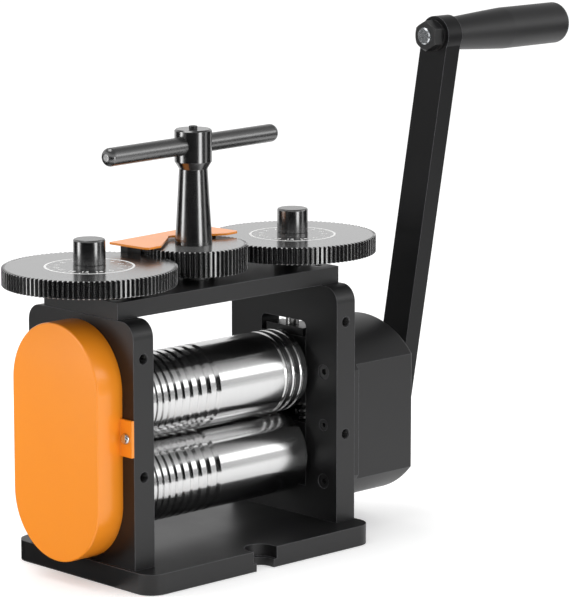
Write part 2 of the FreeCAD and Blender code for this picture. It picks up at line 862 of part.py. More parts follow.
def handle_spindle():
    """Tapered spindle with a head for the cross bar and a journal through the gear."""
    journal = spindle_journal_radius
    groove = journal - ring_groove_depth
    ring_top = spindle_ring_top()
    ring_bottom = ring_top - ring_thickness
    tail = ring_bottom - shaft_tail
    edge = spindle_edge
    profile = [(0, tail), (journal - edge, tail), (journal, tail + edge), (journal, ring_bottom),
               (groove, ring_bottom), (groove, ring_top), (journal, ring_top),
               (journal, centre_gear_top + fit_play),
               (spindle_bottom_radius, centre_gear_top + fit_play),
               (spindle_top_radius, spindle_neck_bottom),
               (spindle_head_radius, spindle_head_bottom),
               (spindle_head_radius, spindle_top - edge),
               (spindle_head_radius - edge, spindle_top), (0, spindle_top)]
    shape = turned_z(profile)
    reach = spindle_head_radius + edge
    bar_hole = rod_x(cross_bar_radius + fit_play, -reach, reach, 0, cross_bar_height)
    bar_hole = about_spindle(bar_hole, cross_bar_turn)
    screw_hole = rod_z(set_screw_radius + fit_play, cross_bar_height, spindle_top)
    return shape.cut([bar_hole, screw_hole, spindle_key_space()])


def cross_bar():
    left = -cross_bar_length / 2 - cross_bar_slide
    bar = rod_x(cross_bar_radius, left, left + cross_bar_length, 0, cross_bar_height)
    ends = [e for e in bar.Edges if e.BoundBox.XLength < 0.01]
    return about_spindle(bar.makeFillet(cross_bar_end_radius, ends), cross_bar_turn)


def set_screw():
    bottom = cross_bar_height + cross_bar_radius + fit_play
    top = spindle_top + set_screw_stand
    screw = rod_z(set_screw_radius, bottom, top)
    return screw.cut(hexagon_z(2 * set_screw_socket_radius, top - 2 * set_screw_radius, top, 0, 0))


def spindle_washer():
    top = plate_top - fit_play
    bottom = top - ring_thickness
    outer = spindle_journal_radius + spindle_bush_wall + ring_thickness
    washer = rod_z(outer, bottom, top)
    return washer.cut(rod_z(spindle_journal_radius + bearing_play, bottom, top))


def spindle_ring():
    top = spindle_ring_top() - fit_play
    bottom = top - ring_thickness + 2 * fit_play
    inner = spindle_journal_radius - ring_groove_depth + fit_play
    ring = rod_z(inner + ring_height, bottom, top).cut(rod_z(inner, bottom, top))
    half_gap = ring_height / 2
    return ring.cut(block(0, 2 * inner, -half_gap, half_gap, bottom, top))


# ---- pointer over the dials ---------------------------------------------------------

def clamped(shape):
    """Turn a piece of the pointer to the angle it is clamped at."""
    return about_spindle(shape, pointer_turn)


def pointer_post(side):
    """Post behind the centre gear, hollowed to clear the teeth of all three gears."""
    x0, x1 = sorted((side * post_inner_x, side * post_outer_x))
    shape = clamped(block(x0, x1, 0, post_rear_y, top_plate_top, pointer_bottom))
    clear = rod_z(centre_gear_tip + post_gear_gap, top_plate_top, pointer_bottom)
    dial_clear = rod_z(dial_gear_tip + post_gear_gap, top_plate_top, pointer_bottom, side * screw_x)
    return shape.cut([clear, dial_clear, post_screw_hole(side), pointer_screw_hole(side)])


def post_screw_size():
    return post_screw_radius, post_screw_head_radius, post_screw_length


def post_screw_place(side):
    return side * (post_outer_x - post_screw_inset), post_rear_y - post_screw_rear_inset


def post_screw(side):
    """Screw from under the top plate into a post."""
    x, y = post_screw_place(side)
    return clamped(countersunk_screw(*post_screw_size(), x, y, plate_top, True))


def post_screw_hole(side):
    x, y = post_screw_place(side)
    return clamped(countersunk_hole(*post_screw_size(), x, y, plate_top, True))


def pointer_screw_place(side):
    """Place of a pointer screw's axis, x and height."""
    return side * (post_outer_x - pointer_screw_inset), pointer_bottom - pointer_tab_height / 2


def pointer_screw_hole(side):
    x, height = pointer_screw_place(side)
    bottom = pointer_rear_y - pointer_screw_length - screw_hole_play
    return clamped(rod_y(pointer_screw_radius + screw_hole_play, bottom, pointer_rear_y, x, height))


def pointer_screw(side):
    """Small pan head screw that holds a tab of the pointer to its post."""
    x, height = pointer_screw_place(side)
    rear = pointer_rear_y
    shank = rod_y(pointer_screw_radius, rear - pointer_screw_length, rear, x, height)
    head = rod_y(pointer_screw_head_radius, rear, rear + pointer_screw_head_height, x, height)
    return clamped(shank.fuse(head).removeSplitter())


def pointer_outline():
    """(x, y) corners of the pointer's sheet, with a wide notch for the spindle."""
    half = pointer_length / 2
    lip = pointer_notch_half_width
    flank_x = pointer_notch_flank_end_x
    flank_y = pointer_notch_flank_end_y
    inner_x = flank_x - (pointer_notch_bottom_y - flank_y)
    return [(-half, pointer_rear_y), (-half, pointer_front_y), (-lip, pointer_front_y),
            (-flank_x, flank_y), (-inner_x, pointer_notch_bottom_y),
            (inner_x, pointer_notch_bottom_y), (flank_x, flank_y), (lip, pointer_front_y),
            (half, pointer_front_y), (half, pointer_rear_y)]


def pointer_corners(sheet, y):
    """Upright edges of the sheet's two outer corners at y."""
    half = pointer_length / 2
    return [e for e in sheet.Edges if e.BoundBox.ZLength > pointer_thickness / 2
            and abs(abs(e.BoundBox.Center.x) - half) < 0.01
            and abs(e.BoundBox.Center.y - y) < 0.01]


def pointer_plate():
    """Sheet metal plate over the dials, with two tabs bent down behind."""
    corners = [V(x, y, pointer_bottom) for x, y in pointer_outline()]
    sheet = prism(corners, V(0, 0, pointer_thickness))
    sheet = sheet.makeFillet(pointer_rear_corner_radius, pointer_corners(sheet, pointer_rear_y))
    sheet = sheet.makeFillet(pointer_front_corner_radius, pointer_corners(sheet, pointer_front_y))
    top = pointer_bottom + pointer_thickness
    tab_outer_x = post_outer_x - pointer_tab_inset
    tabs = [block(*sorted((side * post_inner_x, side * tab_outer_x)), post_rear_y,
                  pointer_rear_y, pointer_bottom - pointer_tab_height, top) for side in (-1, 1)]
    shape = clamped(sheet.fuse(tabs).removeSplitter())
    return shape.cut([pointer_screw_hole(side) for side in (-1, 1)])


# ---- gear cover at the left ---------------------------------------------------------

def stadium(half_width, low_centre, high_centre, x0, x1, y=0.0):
    """Upright plate with round ends, between x0 and x1."""
    low = V(x0, y, low_centre - half_width)
    high = V(x0, y, high_centre + half_width)
    corners = [V(x0, y + sy * half_width, z) for sy, z in
               ((-1, low_centre), (1, low_centre), (1, high_centre), (-1, high_centre))]
    edges = [Part.Arc(corners[0], low, corners[1]).toShape(),
             Part.LineSegment(corners[1], corners[2]).toShape(),
             Part.Arc(corners[2], high, corners[3]).toShape(),
             Part.LineSegment(corners[3], corners[0]).toShape()]
    return Part.Face(Part.Wire(edges)).extrude(V(x1 - x0, 0, 0))


def gear_cover():
    """Pressed cover over the roller gears, with a screw tab each side."""
    shell = stadium(cover_half_width, cover_low_centre, cover_high_centre,
                    -cover_outer_x, -plate_outer_x, cover_centre_y)
    rim = [e for e in shell.Edges if e.BoundBox.XMax < -cover_outer_x + 0.01]
    shell = shell.makeFillet(cover_edge_radius, rim)
    hollow = stadium(cover_half_width - cover_wall, cover_low_centre, cover_high_centre,
                     -cover_outer_x + cover_wall, -plate_outer_x, cover_centre_y)
    z0 = tab_middle_height - tab_height / 2
    z1 = tab_middle_height + tab_height / 2
    reach = plate_depth / 2
    tab = block(-plate_outer_x - tab_thickness, -plate_outer_x, -reach, reach, z0, z1)
    shape = shell.fuse(tab).cut(hollow).removeSplitter()
    return shape.cut([cover_screw_hole(y) for y in cover_screw_ys()])


def cover_screw(y):
    """Pan head screw with a slight dome."""
    face = -plate_outer_x - tab_thickness
    head = cover_screw_head_radius
    rise = cover_screw_head_height
    profile = [(face - rise, 0.0), (face - rise, head * cover_screw_top_ratio),
               (face - rise * cover_screw_dome_ratio, head),
               (face, head), (face, cover_screw_radius),
               (face + cover_screw_length, cover_screw_radius),
               (face + cover_screw_length, 0.0)]
    return turned_x(profile, tab_middle_height, y)


# ---- gear housing and crank at the right --------------------------------------------

def trimmed_disc(flat_y, x0, x1):
    """Disc on the housing's axis with its front and rear cut flat."""
    disc = rod_x(housing_radius, x0, x1, 0, housing_centre_height)
    low = housing_centre_height - housing_radius
    high = housing_centre_height + housing_radius
    return disc.common(block(x0, x1, -flat_y, flat_y, low, high))


def housing_body():
    body = trimmed_disc(housing_flat_y, plate_outer_x, housing_end_x)
    rim = [e for e in body.Edges if e.BoundBox.XMin > housing_end_x - 0.01]
    body = body.makeFillet(housing_edge_radius, rim)
    flange = trimmed_disc(housing_flange_y, plate_outer_x,
                          plate_outer_x + housing_flange_thickness)
    return body.fuse(flange)


def gear_housing():
    """Cast housing over the reduction gears, with a bearing boss for the crank."""
    end_inner = housing_end_x - housing_end_wall
    boss = rod_x(boss_radius, bush_start_x, boss_end_x, 0, crank_axis_height)
    cavity = stadium(housing_cavity_radius, lower_axis_height,
                     crank_axis_height + housing_cavity_rise, plate_outer_x, end_inner)
    inner_boss = cavity.cut(rod_x(boss_radius, bush_start_x, end_inner, 0, crank_axis_height))
    shape = housing_body().fuse(boss).cut(inner_boss)
    bush_hole = rod_x(crank_journal_radius + crank_bush_wall + fit_play,
                      bush_start_x, boss_end_x, 0, crank_axis_height)
    return shape.cut([bush_hole] + housing_holes()).removeSplitter()


def crank_bush():
    outer = crank_journal_radius + crank_bush_wall
    bush = rod_x(outer, bush_start_x, boss_end_x, 0, crank_axis_height)
    bore = rod_x(crank_journal_radius + bearing_play, bush_start_x, boss_end_x, 0,
                 crank_axis_height)
    return bush.cut(bore)


def crank_shaft():
    """Shaft with its pinion cut in one piece, a collar and a square end for the arm."""
    axis = crank_axis_height
    pinion_start = drive_gear_x - pinion_extra_width
    pinion_end = drive_gear_x + drive_gear_width + pinion_extra_width
    tooth = meshed_tooth(90.0, drive_gear_teeth, 90.0, pinion_teeth)
    pinion = gear_x(pinion_teeth, drive_module, pinion_start, pinion_end, axis, tooth,
                    drive_gear_play, pinion_shift)
    collar_start = boss_end_x + grip_side_gap
    journal = rod_x(crank_journal_radius, pinion_end, collar_start, 0, axis)
    collar = rod_x(crank_collar_radius, collar_start, arm_inner_x, 0, axis)
    half = spigot_square / 2
    spigot = block(arm_inner_x, arm_outer_x - spigot_recess, -half, half, axis - half, axis + half)
    spigot = lean(spigot)
    shape = pinion.fuse([journal, collar, spigot]).removeSplitter()
    thread = rod_x(arm_screw_radius + fit_play, arm_outer_x - arm_screw_length - fit_play,
                   arm_outer_x - spigot_recess, 0, axis)
    return shape.cut(thread)


def lean(shape):
    """Turn a piece of the upright crank about the crank axis to its place at rest."""
    shape = shape.copy()
    shape.rotate(V(0, 0, crank_axis_height), V(1, 0, 0), crank_arm_lean)
    return shape


def crank_arm():
    """Flat bar with a round head at the grip and a square hole at the shaft."""
    axis = crank_axis_height
    half = crank_arm_width / 2
    top = axis + crank_throw
    bar = block(arm_inner_x, arm_outer_x, -half, half, axis - crank_arm_tail, top)
    bottom_corners = [e for e in bar.Edges if e.BoundBox.XLength > crank_arm_thickness - 0.01
                      and e.BoundBox.ZMax < axis]
    bar = bar.makeFillet(crank_arm_corner_radius, bottom_corners)
    head = rod_x(crank_arm_head_radius, arm_inner_x, arm_outer_x, 0, top)
    shape = bar.fuse(head).removeSplitter()
    hole = spigot_square / 2 + fit_play
    shape = shape.cut([block(arm_inner_x, arm_outer_x - spigot_recess + fit_play,
                             -hole, hole, axis - hole, axis + hole),
                       rod_x(grip_bolt_radius + fit_play, arm_inner_x, arm_outer_x, 0, top),
                       arm_screw_space(bearing_play)])
    return lean(shape)


def arm_screw_space(play=0.0):
    """Countersunk screw that pulls the arm on to the shaft's square end."""
    cone = arm_screw_head_radius - arm_screw_radius
    profile = [(arm_outer_x, 0.0), (arm_outer_x, arm_screw_head_radius + play),
               (arm_outer_x - cone, arm_screw_radius + play),
               (arm_outer_x - arm_screw_length - play, arm_screw_radius + play),
               (arm_outer_x - arm_screw_length - play, 0.0)]
    return turned_x(profile, crank_axis_height)


def arm_screw():
    screw = arm_screw_space()
    key = hex_key_ratio * 2 * arm_screw_radius
    cone = arm_screw_head_radius - arm_screw_radius
    return screw.cut(hexagon_x(key, arm_outer_x - cone, arm_outer_x, 0, crank_axis_height))


def grip_axis_height():
    return crank_axis_height + crank_throw


def grip_bolt():
    """Spindle of the grip: thread through the arm, a shoulder, and a ring groove."""
    nut_face = arm_inner_x - nut_washer_thickness - nut_thickness
    groove = arm_outer_x + grip_bore_length - 2 * ring_thickness
    depth = ring_groove_depth
    radius = grip_bolt_radius
    tail = groove + ring_thickness + shaft_tail / 2
    end = nut_face - bolt_past_nut
    collar = grip_bolt_collar_radius
    collar_end = arm_outer_x + grip_bolt_collar_length
    profile = [(end, 0.0), (end, radius - grip_bolt_bevel), (end + grip_bolt_bevel, radius),
               (arm_outer_x, radius), (arm_outer_x, collar), (collar_end, collar),
               (collar_end, radius), (groove, radius), (groove, radius - depth),
               (groove + ring_thickness, radius - depth), (groove + ring_thickness, radius),
               (tail, radius), (tail, 0.0)]
    return lean(turned_x(profile, grip_axis_height()))


def grip_ring():
    """Spring ring that keeps the grip on its bolt."""
    start = arm_outer_x + grip_bore_length - 2 * ring_thickness + fit_play
    end = start + ring_thickness - 2 * fit_play
    inner = grip_bolt_radius - ring_groove_depth + fit_play
    outer = grip_groove_radius - 2 * bearing_play
    z = grip_axis_height()
    ring = rod_x(outer, start, end, 0, z).cut(rod_x(inner, start, end, 0, z))
    half_gap = ring_groove_depth
    return lean(ring.cut(block(start, end, -half_gap, half_gap, z, z + 2 * outer)))


def grip_nut():
    """Hexagon nut, left with its flats upright."""
    end = arm_inner_x - nut_washer_thickness
    start = end - nut_thickness
    z = grip_axis_height()
    nut = hexagon_x(nut_across_flats, start, end, 0, z)
    corner = nut_across_flats / math.sqrt(3)
    cut = corner - nut_across_flats / 2
    rounded = turned_x([(start, 0.0), (start, corner - cut),
                        (start + nut_bevel_ratio * cut, corner),
                        (end, corner), (end, 0.0)], z)
    bore = rod_x(grip_bolt_radius + fit_play, start, end, 0, z)
    nut = nut.common(rounded).cut(bore)
    nut.rotate(V(0, 0, z), V(1, 0, 0), -crank_arm_lean)
    return lean(nut)


def grip_washer():
    start = arm_inner_x - nut_washer_thickness
    z = grip_axis_height()
    washer = rod_x(nut_washer_radius, start, arm_inner_x, 0, z)
    return lean(washer.cut(rod_x(grip_bolt_radius + fit_play, start, arm_inner_x, 0, z)))


def hand_grip():
    """Moulded grip that turns on its bolt: slim at the arm, full at the free end."""
    start = arm_outer_x + grip_side_gap
    end = arm_outer_x + grip_length
    middle = start + grip_bend_ratio * grip_cone_length
    cone_end = start + grip_cone_length
    z = grip_axis_height()
    bend = Part.Arc(V(start, 0, z + grip_small_radius), V(middle, 0, z + grip_bend_radius),
                    V(cone_end, 0, z + grip_radius)).toShape()
    corner = grip_end_radius
    turn = corner * (1 - math.sqrt(0.5))
    cylinder_end = end - corner
    edges = [Part.LineSegment(V(start, 0, z), V(start, 0, z + grip_small_radius)).toShape(), bend,
             Part.LineSegment(V(cone_end, 0, z + grip_radius),
                              V(cylinder_end, 0, z + grip_radius)).toShape(),
             Part.Arc(V(cylinder_end, 0, z + grip_radius),
                      V(end - turn, 0, z + grip_radius - turn),
                      V(end, 0, z + grip_radius - corner)).toShape(),
             Part.LineSegment(V(end, 0, z + grip_radius - corner), V(end, 0, z)).toShape(),
             Part.LineSegment(V(end, 0, z), V(start, 0, z)).toShape()]
    shape = Part.Face(Part.Wire(edges)).revolve(V(0, 0, z), V(1, 0, 0), 360)
    groove = arm_outer_x + grip_bore_length - 2 * ring_thickness
    spaces = [rod_x(grip_bolt_radius + grip_bore_play, start, arm_outer_x + grip_bore_length, 0, z),
              rod_x(grip_bolt_collar_radius + 2 * grip_bore_play, start,
                    arm_outer_x + grip_bolt_collar_length + grip_side_gap, 0, z),
              rod_x(grip_groove_radius, groove - grip_side_gap,
                    groove + ring_thickness + grip_side_gap, 0, z)]
    return lean(shape.cut(spaces))


# ---- build --------------------------------------------------------------------------

def build_frame():
    save("base_plate", base_plate())
    size = (base_screw_radius, base_screw_head_radius, base_screw_length)
    save("base_screws", *[countersunk_screw(*size, x, y, 0, True) for x, y in base_screw_places()])
    save("left_side_plate", left_side_plate())
    save("right_side_plate", right_side_plate())
    save("top_plate", top_plate())
    size = (top_screw_radius, top_screw_head_radius, top_screw_length)
    save("top_plate_screws", *[countersunk_screw(*size, x, y, top_plate_top, False)
                               for x, y in top_screw_places()])
    save("screw_nuts", screw_nut(-1), screw_nut(1))
    save("spindle_bush", spindle_bush())
    block_shape = lower_block()
    save("lower_left_bearing", mirror_x(block_shape))
    save("lower_right_bearing", block_shape)
    save("lift_springs", *[lift_spring(sx * screw_x, sy * spring_offset_y)
                           for sx in (-1, 1) for sy in (-1, 1)])


def build_rollers():
    save("lower_roller", lower_roller())
    save("upper_roller", upper_roller())
    lower_tooth = 90.0
    upper_tooth = meshed_tooth(90.0, sync_teeth, lower_tooth, sync_teeth)
    save("lower_roller_gear", sync_gear(lower_axis_height, lower_tooth))
    save("upper_roller_gear", sync_gear(upper_axis_height, upper_tooth))
    save("drive_gear", drive_gear())
    drive_end = drive_gear_x + drive_gear_width
    save("lower_roller_keys",
         gear_key(-sync_gear_outer_x, -sync_gear_inner_x - fit_play, lower_axis_height),
         gear_key(drive_gear_x + fit_play, drive_end, lower_axis_height))
    save("upper_roller_key",
         gear_key(-sync_gear_outer_x, -sync_gear_inner_x - fit_play, upper_axis_height))
    left_groove = -sync_gear_outer_x - fit_play - ring_thickness
    save("lower_roller_rings", retaining_ring(left_groove, lower_axis_height),
         retaining_ring(drive_end + fit_play, lower_axis_height))
    save("upper_roller_ring", retaining_ring(left_groove, upper_axis_height))
    block_shape = upper_block()
    save("upper_left_bearing", mirror_x(block_shape))
    save("upper_right_bearing", block_shape)
    save("thrust_pads", thrust_pad(), mirror_x(thrust_pad()))


def build_adjuster():
    for name, side, direction in (("left", -1, 180.0), ("right", 1, 0.0)):
        save(name + "_pressure_screw", pressure_screw(side))
        tooth = meshed_tooth(direction, centre_teeth, 0.0, dial_teeth)
        save(name + "_dial_gear", dial_gear(side, tooth))
        save(name + "_knob", knob(side))
    save("centre_gear", centre_gear())
    save("handle_spindle", handle_spindle())
    save("spindle_key", spindle_key_space(fit_play))
    save("cross_bar", cross_bar())
    save("set_screw", set_screw())
    save("spindle_washer", spindle_washer())
    save("spindle_ring", spindle_ring())
    save("pointer_posts", pointer_post(-1), pointer_post(1))
    save("pointer_post_screws", post_screw(-1), post_screw(1))
    save("pointer_plate", pointer_plate())
    save("pointer_screws", pointer_screw(-1), pointer_screw(1))


def build_covers():
    save("gear_cover", gear_cover())
    save("cover_screws", *[cover_screw(y) for y in cover_screw_ys()])
    save("gear_housing", gear_housing())
    save("housing_screws", *[socket_screw(housing_screw_radius, housing_screw_head_radius, y, z)
                             for y, z in housing_screw_places()])
    save("locating_screws", *[socket_screw(dowel_radius, dowel_head_radius, y, z)
                              for y, z in dowel_places()])
    save("crank_bush", crank_bush())


def build_crank():
    save("crank_shaft", crank_shaft())
    save("crank_arm", crank_arm())
    save("arm_screw", arm_screw())
    save("grip_bolt", grip_bolt())
    save("grip_nut", grip_nut())
    save("grip_washer", grip_washer())
    save("grip_ring", grip_ring())
    save("hand_grip", hand_grip())


os.makedirs("parts", exist_ok=True)
build_frame()
build_rollers()
build_adjuster()
build_covers()
build_crank()
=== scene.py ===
"""Looks of a jewellers rolling mill: finishes, dial marks, small fasteners and the stage.

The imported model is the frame. Everything is in metres, +X along the rollers towards the
crank, -Y the feed side, +Z up.
"""

import json
import math

import bmesh
import bpy
from bpy.props import FloatProperty, FloatVectorProperty, IntProperty, PointerProperty
from mathutils import Matrix, Vector


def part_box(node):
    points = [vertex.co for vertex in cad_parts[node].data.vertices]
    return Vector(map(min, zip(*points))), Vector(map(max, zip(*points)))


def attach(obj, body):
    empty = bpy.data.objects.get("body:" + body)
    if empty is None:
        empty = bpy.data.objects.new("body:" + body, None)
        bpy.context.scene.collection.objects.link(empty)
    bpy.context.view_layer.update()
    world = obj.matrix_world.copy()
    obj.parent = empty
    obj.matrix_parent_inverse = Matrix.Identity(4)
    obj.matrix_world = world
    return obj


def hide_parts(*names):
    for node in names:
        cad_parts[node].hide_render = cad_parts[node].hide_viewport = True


bl_info = {
    "name": "Rolling Mill Looks",
    "version": (1, 0, 0),
    "blender": (4, 5, 0),
    "location": "View3D > Sidebar > Mill",
    "description": "Gives a jewellers rolling mill its finishes, marks and stage",
    "category": "Object",
}

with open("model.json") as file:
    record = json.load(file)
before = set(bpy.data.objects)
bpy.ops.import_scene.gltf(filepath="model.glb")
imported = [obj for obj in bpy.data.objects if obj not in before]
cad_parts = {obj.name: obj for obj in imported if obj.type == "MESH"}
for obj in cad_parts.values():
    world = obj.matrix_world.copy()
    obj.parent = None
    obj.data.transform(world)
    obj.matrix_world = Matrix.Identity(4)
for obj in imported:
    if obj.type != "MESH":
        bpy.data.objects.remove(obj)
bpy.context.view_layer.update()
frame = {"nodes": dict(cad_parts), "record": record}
MM = 0.001
SMOOTH_DEGREES = 32             # edges sharper than this stay sharp


# ---- colours and sizes a user would change ------------------------------------------

def linear(hex_colour):
    """Linear RGBA of an sRGB hex colour."""
    channels = [int(hex_colour[i:i + 2], 16) / 255 for i in (1, 3, 5)]
    curve = [c / 12.92 if c <= 0.04045 else ((c + 0.055) / 1.055) ** 2.4 for c in channels]
    return (*curve, 1.0)


def colour(name, description, hex_default):
    """Colour property with an sRGB hex default."""
    return FloatVectorProperty(name=name, description=description, subtype="COLOR", size=4,
                               min=0.0, max=1.0, default=linear(hex_default))


def length(name, description, millimetres):
    """Length property with its default in millimetres."""
    return FloatProperty(name=name, description=description, unit="LENGTH", min=0.0,
                         precision=5, default=millimetres * MM)


class MillColours(bpy.types.PropertyGroup):
    """Colours of the mill's finishes."""
    powder_coat: colour("Powder coat", "Frame, housing and crank arm", "#131314")
    enamel: colour("Enamel", "Gear cover and pointer", "#ff9520")
    black_oxide: colour("Black oxide", "Gears, tee handle, bearing blocks and screws", "#111112")
    roller_steel: colour("Roller steel", "Rollers and the gear teeth's chamfers", "#d2d2d2")
    bare_steel: colour("Bare steel", "Inner gears, keys and pressure screws", "#a9a9a8")
    bronze: colour("Bronze", "Screw nuts and bushes", "#a5814f")
    zinc: colour("Zinc plate", "Grip bolt and cover screws", "#d2d5d8")
    grip: colour("Grip plastic", "Hand grip", "#1a1a1b")
    marks: colour("Dial marks", "Lines and numerals of the dials", "#fbfbfa")


class MillSizes(bpy.types.PropertyGroup):
    """Sizes of the pieces that this file adds."""
    ring_radius: length("Dial ring radius", "Outer radius of the ring on a dial", 21.0)
    ring_width: length("Dial ring width", "Width of the ring line", 1.1)
    tick_width: length("Tick width", "Width of a dial's tick", 0.35)
    long_tick: length("Long tick", "Length of a numbered tick", 2.0)
    short_tick: length("Short tick", "Length of a half step's tick", 1.1)
    numeral_height: length("Numeral height", "Height of the dial's numerals", 2.7)
    numeral_radius: length("Numeral radius", "Radius of the numerals' middles", 15.6)
    paint_thickness: length("Paint thickness", "Height of the marks above the dial", 0.04)
    dial_steps: IntProperty(name="Dial steps", description="Numbered steps in one turn",
                            min=4, max=60, default=15)
    bolt_pitch: length("Bolt pitch", "Thread pitch of the grip bolt", 1.25)
    table_pitch: length("Table thread pitch", "Thread pitch of the front holes", 0.8)
    recess_width: length("Recess width", "Width of a cross recess's arms", 0.75)


class MillStage(bpy.types.PropertyGroup):
    """Camera and light."""
    camera_place: FloatVectorProperty(name="Camera", description="Where the camera stands",
                                      subtype="TRANSLATION", unit="LENGTH", size=3,
                                      default=(-1.06607, -1.17863, 0.4205))
    camera_yaw: FloatProperty(name="Yaw", description="Camera's turn from +Y towards +X",
                              subtype="ANGLE", default=math.radians(43.672))
    camera_pitch: FloatProperty(name="Pitch", description="Camera's tilt below the horizon",
                                subtype="ANGLE", default=math.radians(10.62))
    focal: FloatProperty(name="Focal length", description="On a 36 mm sensor", min=10.0,
                         default=206.25)
    ambient: FloatProperty(name="Ambient", description="Strength of the surroundings as a light",
                           min=0.0, default=0.85)
    ceiling: FloatProperty(name="Ceiling", description="Brightness of the ceiling where seen",
                           min=0.0, default=0.25)


# ---- material nodes -----------------------------------------------------------------

NOISE_ROUGHNESS = 0.55
BEVEL_SAMPLES = 4
EDGE_LIGHTENING_STARTS = 0.98              # cosine between the rounded and the sharp normal
EDGE_LIGHTENING_FULL = 0.75


def feed(tree, node, inputs):
    """Give a node's inputs their values, each a plain one or another node's socket."""
    for socket, value in inputs.items():
        if isinstance(value, bpy.types.NodeSocket):
            tree.links.new(value, node.inputs[socket])
        else:
            node.inputs[socket].default_value = value


def add(tree, kind, inputs=None, **settings):
    """Add one node with its settings and inputs."""
    node = tree.nodes.new(kind)
    for name, value in settings.items():
        setattr(node, name, value)
    feed(tree, node, inputs or {})
    return node


def cleared_tree(owner):
    """Empty node tree of a new material or world."""
    owner.use_nodes = True
    owner.node_tree.nodes.clear()
    return owner.node_tree


def new_material(name):
    """Material with its node tree and the Principled shader, all other nodes cleared."""
    material = bpy.data.materials.new(name)
    tree = cleared_tree(material)
    shader = add(tree, "ShaderNodeBsdfPrincipled")
    add(tree, "ShaderNodeOutputMaterial", {"Surface": shader.outputs["BSDF"]})
    return material, tree, shader


def stretched_noise(tree, grain, detail):
    """0 to 1 noise in the frame's metres, with a grain in millimetres along X, Y and Z."""
    place = add(tree, "ShaderNodeTexCoord")
    scale = [1 / (g * MM) for g in grain]
    mapped = add(tree, "ShaderNodeMapping", {"Vector": place.outputs["Object"], "Scale": scale})
    noise = add(tree, "ShaderNodeTexNoise", {"Vector": mapped.outputs["Vector"], "Scale": 1.0,
                                             "Detail": detail, "Roughness": NOISE_ROUGHNESS})
    return noise.outputs["Fac"]


def between(tree, factor, low, high):
    """Spread a 0 to 1 factor over low to high."""
    node = add(tree, "ShaderNodeMapRange", {"Value": factor, "To Min": low, "To Max": high})
    return node.outputs["Result"]


def worn_edge(tree, radius, amount):
    """0 on flats and up to amount along edges, where a finish wears through and where a painted
    highlight lightens the edge.
    """
    rounded = add(tree, "ShaderNodeBevel", {"Radius": radius * MM}, samples=BEVEL_SAMPLES)
    sharp = add(tree, "ShaderNodeNewGeometry")
    turn = add(tree, "ShaderNodeVectorMath", {0: rounded.outputs["Normal"],
                                              1: sharp.outputs["Normal"]}, operation="DOT_PRODUCT")
    mask = add(tree, "ShaderNodeMapRange", {"Value": turn.outputs["Value"],
                                            "From Min": EDGE_LIGHTENING_STARTS, "From Max": EDGE_LIGHTENING_FULL,
                                            "To Max": amount})
    return mask.outputs["Result"]


def rounded_bump(tree, height, distance, strength, edge):
    """Normal with rounded edges, a radius in millimetres, under a bump."""
    soft = add(tree, "ShaderNodeBevel", {"Radius": edge * MM}, samples=BEVEL_SAMPLES)
    bump = add(tree, "ShaderNodeBump", {"Height": height, "Distance": distance * MM,
                                        "Strength": strength, "Normal": soft.outputs["Normal"]})
    return bump.outputs["Normal"]


def mixed(tree, factor, first, second):
    """Mix of two colours; 6, 7 and 2 are the Mix node's colour sockets."""
    node = add(tree, "ShaderNodeMix", {"Factor": factor, 6: first, 7: second}, data_type="RGBA")
    return node.outputs[2]


def clouded(tree, factor, base, dark, light):
    """Colour that varies with a factor, from a darker to a lighter shade of its base."""
    return mixed(tree, factor, shade(base, dark), shade(base, light))


def shade(base, amount):
    """A lighter or darker copy of a linear colour."""
    return (*[min(1.0, c * amount) for c in base[:3]], 1.0)


def powder_coat(colours, name, gloss):
    """Black polyester powder coat, baked on: satin, with a fine pebbled skin."""
    material, tree, shader = new_material(name)
    skin = stretched_noise(tree, (0.45, 0.45, 0.45), 3.0)
    cloud = stretched_noise(tree, (28.0, 28.0, 28.0), 2.0)
    base = colours.powder_coat
    tint = clouded(tree, cloud, base, 0.86, 1.18)
    # Edges lighten to thirty times the coat's colour: partly wear through the coat, partly a
    # painted highlight of the rounded edges.
    tint = mixed(tree, worn_edge(tree, 0.5, 0.9), tint, shade(base, 30.0))
    feed(tree, shader, {"Base Color": tint, "Specular IOR Level": gloss,
                        "Roughness": between(tree, cloud, 0.36, 0.46),
                        "Normal": rounded_bump(tree, skin, 0.03, 0.35, 0.45)})
    return material


def enamel(colours):
    """Orange stoved enamel on sheet steel: glossy, with a faint orange peel."""
    material, tree, shader = new_material("orange_stoved_enamel")
    peel = stretched_noise(tree, (0.9, 0.9, 0.9), 2.0)
    cloud = stretched_noise(tree, (35.0, 35.0, 35.0), 1.0)
    feed(tree, shader, {"Base Color": clouded(tree, cloud, colours.enamel, 0.97, 1.04),
                        "Roughness": between(tree, peel, 0.26, 0.34),
                        "Coat Weight": 0.25, "Coat Roughness": 0.12,
                        "Normal": rounded_bump(tree, peel, 0.02, 0.3, 0.4)})
    return material


def black_oxide(colours, name, grain, roughness, index=2.3, oil=0.0, wear_and_highlight=0.5):
    """Turned or milled steel blackened in hot salts: magnetite, which reflects well, and oil."""
    material, tree, shader = new_material(name)
    marks = stretched_noise(tree, grain, 2.0)
    tint = clouded(tree, marks, colours.black_oxide, 0.85, 1.25)
    # Edges lighten towards half-bright steel: partly worn oxide, partly a painted highlight.
    tint = mixed(tree, worn_edge(tree, 0.18, wear_and_highlight), tint, shade(colours.bare_steel, 0.5))
    feed(tree, shader, {"Base Color": tint, "IOR": index,
                        "Roughness": between(tree, marks, roughness - 0.04, roughness + 0.05),
                        "Coat Weight": oil, "Coat Roughness": 0.16,
                        "Normal": rounded_bump(tree, marks, 0.01, 0.1, 0.22)})
    return material


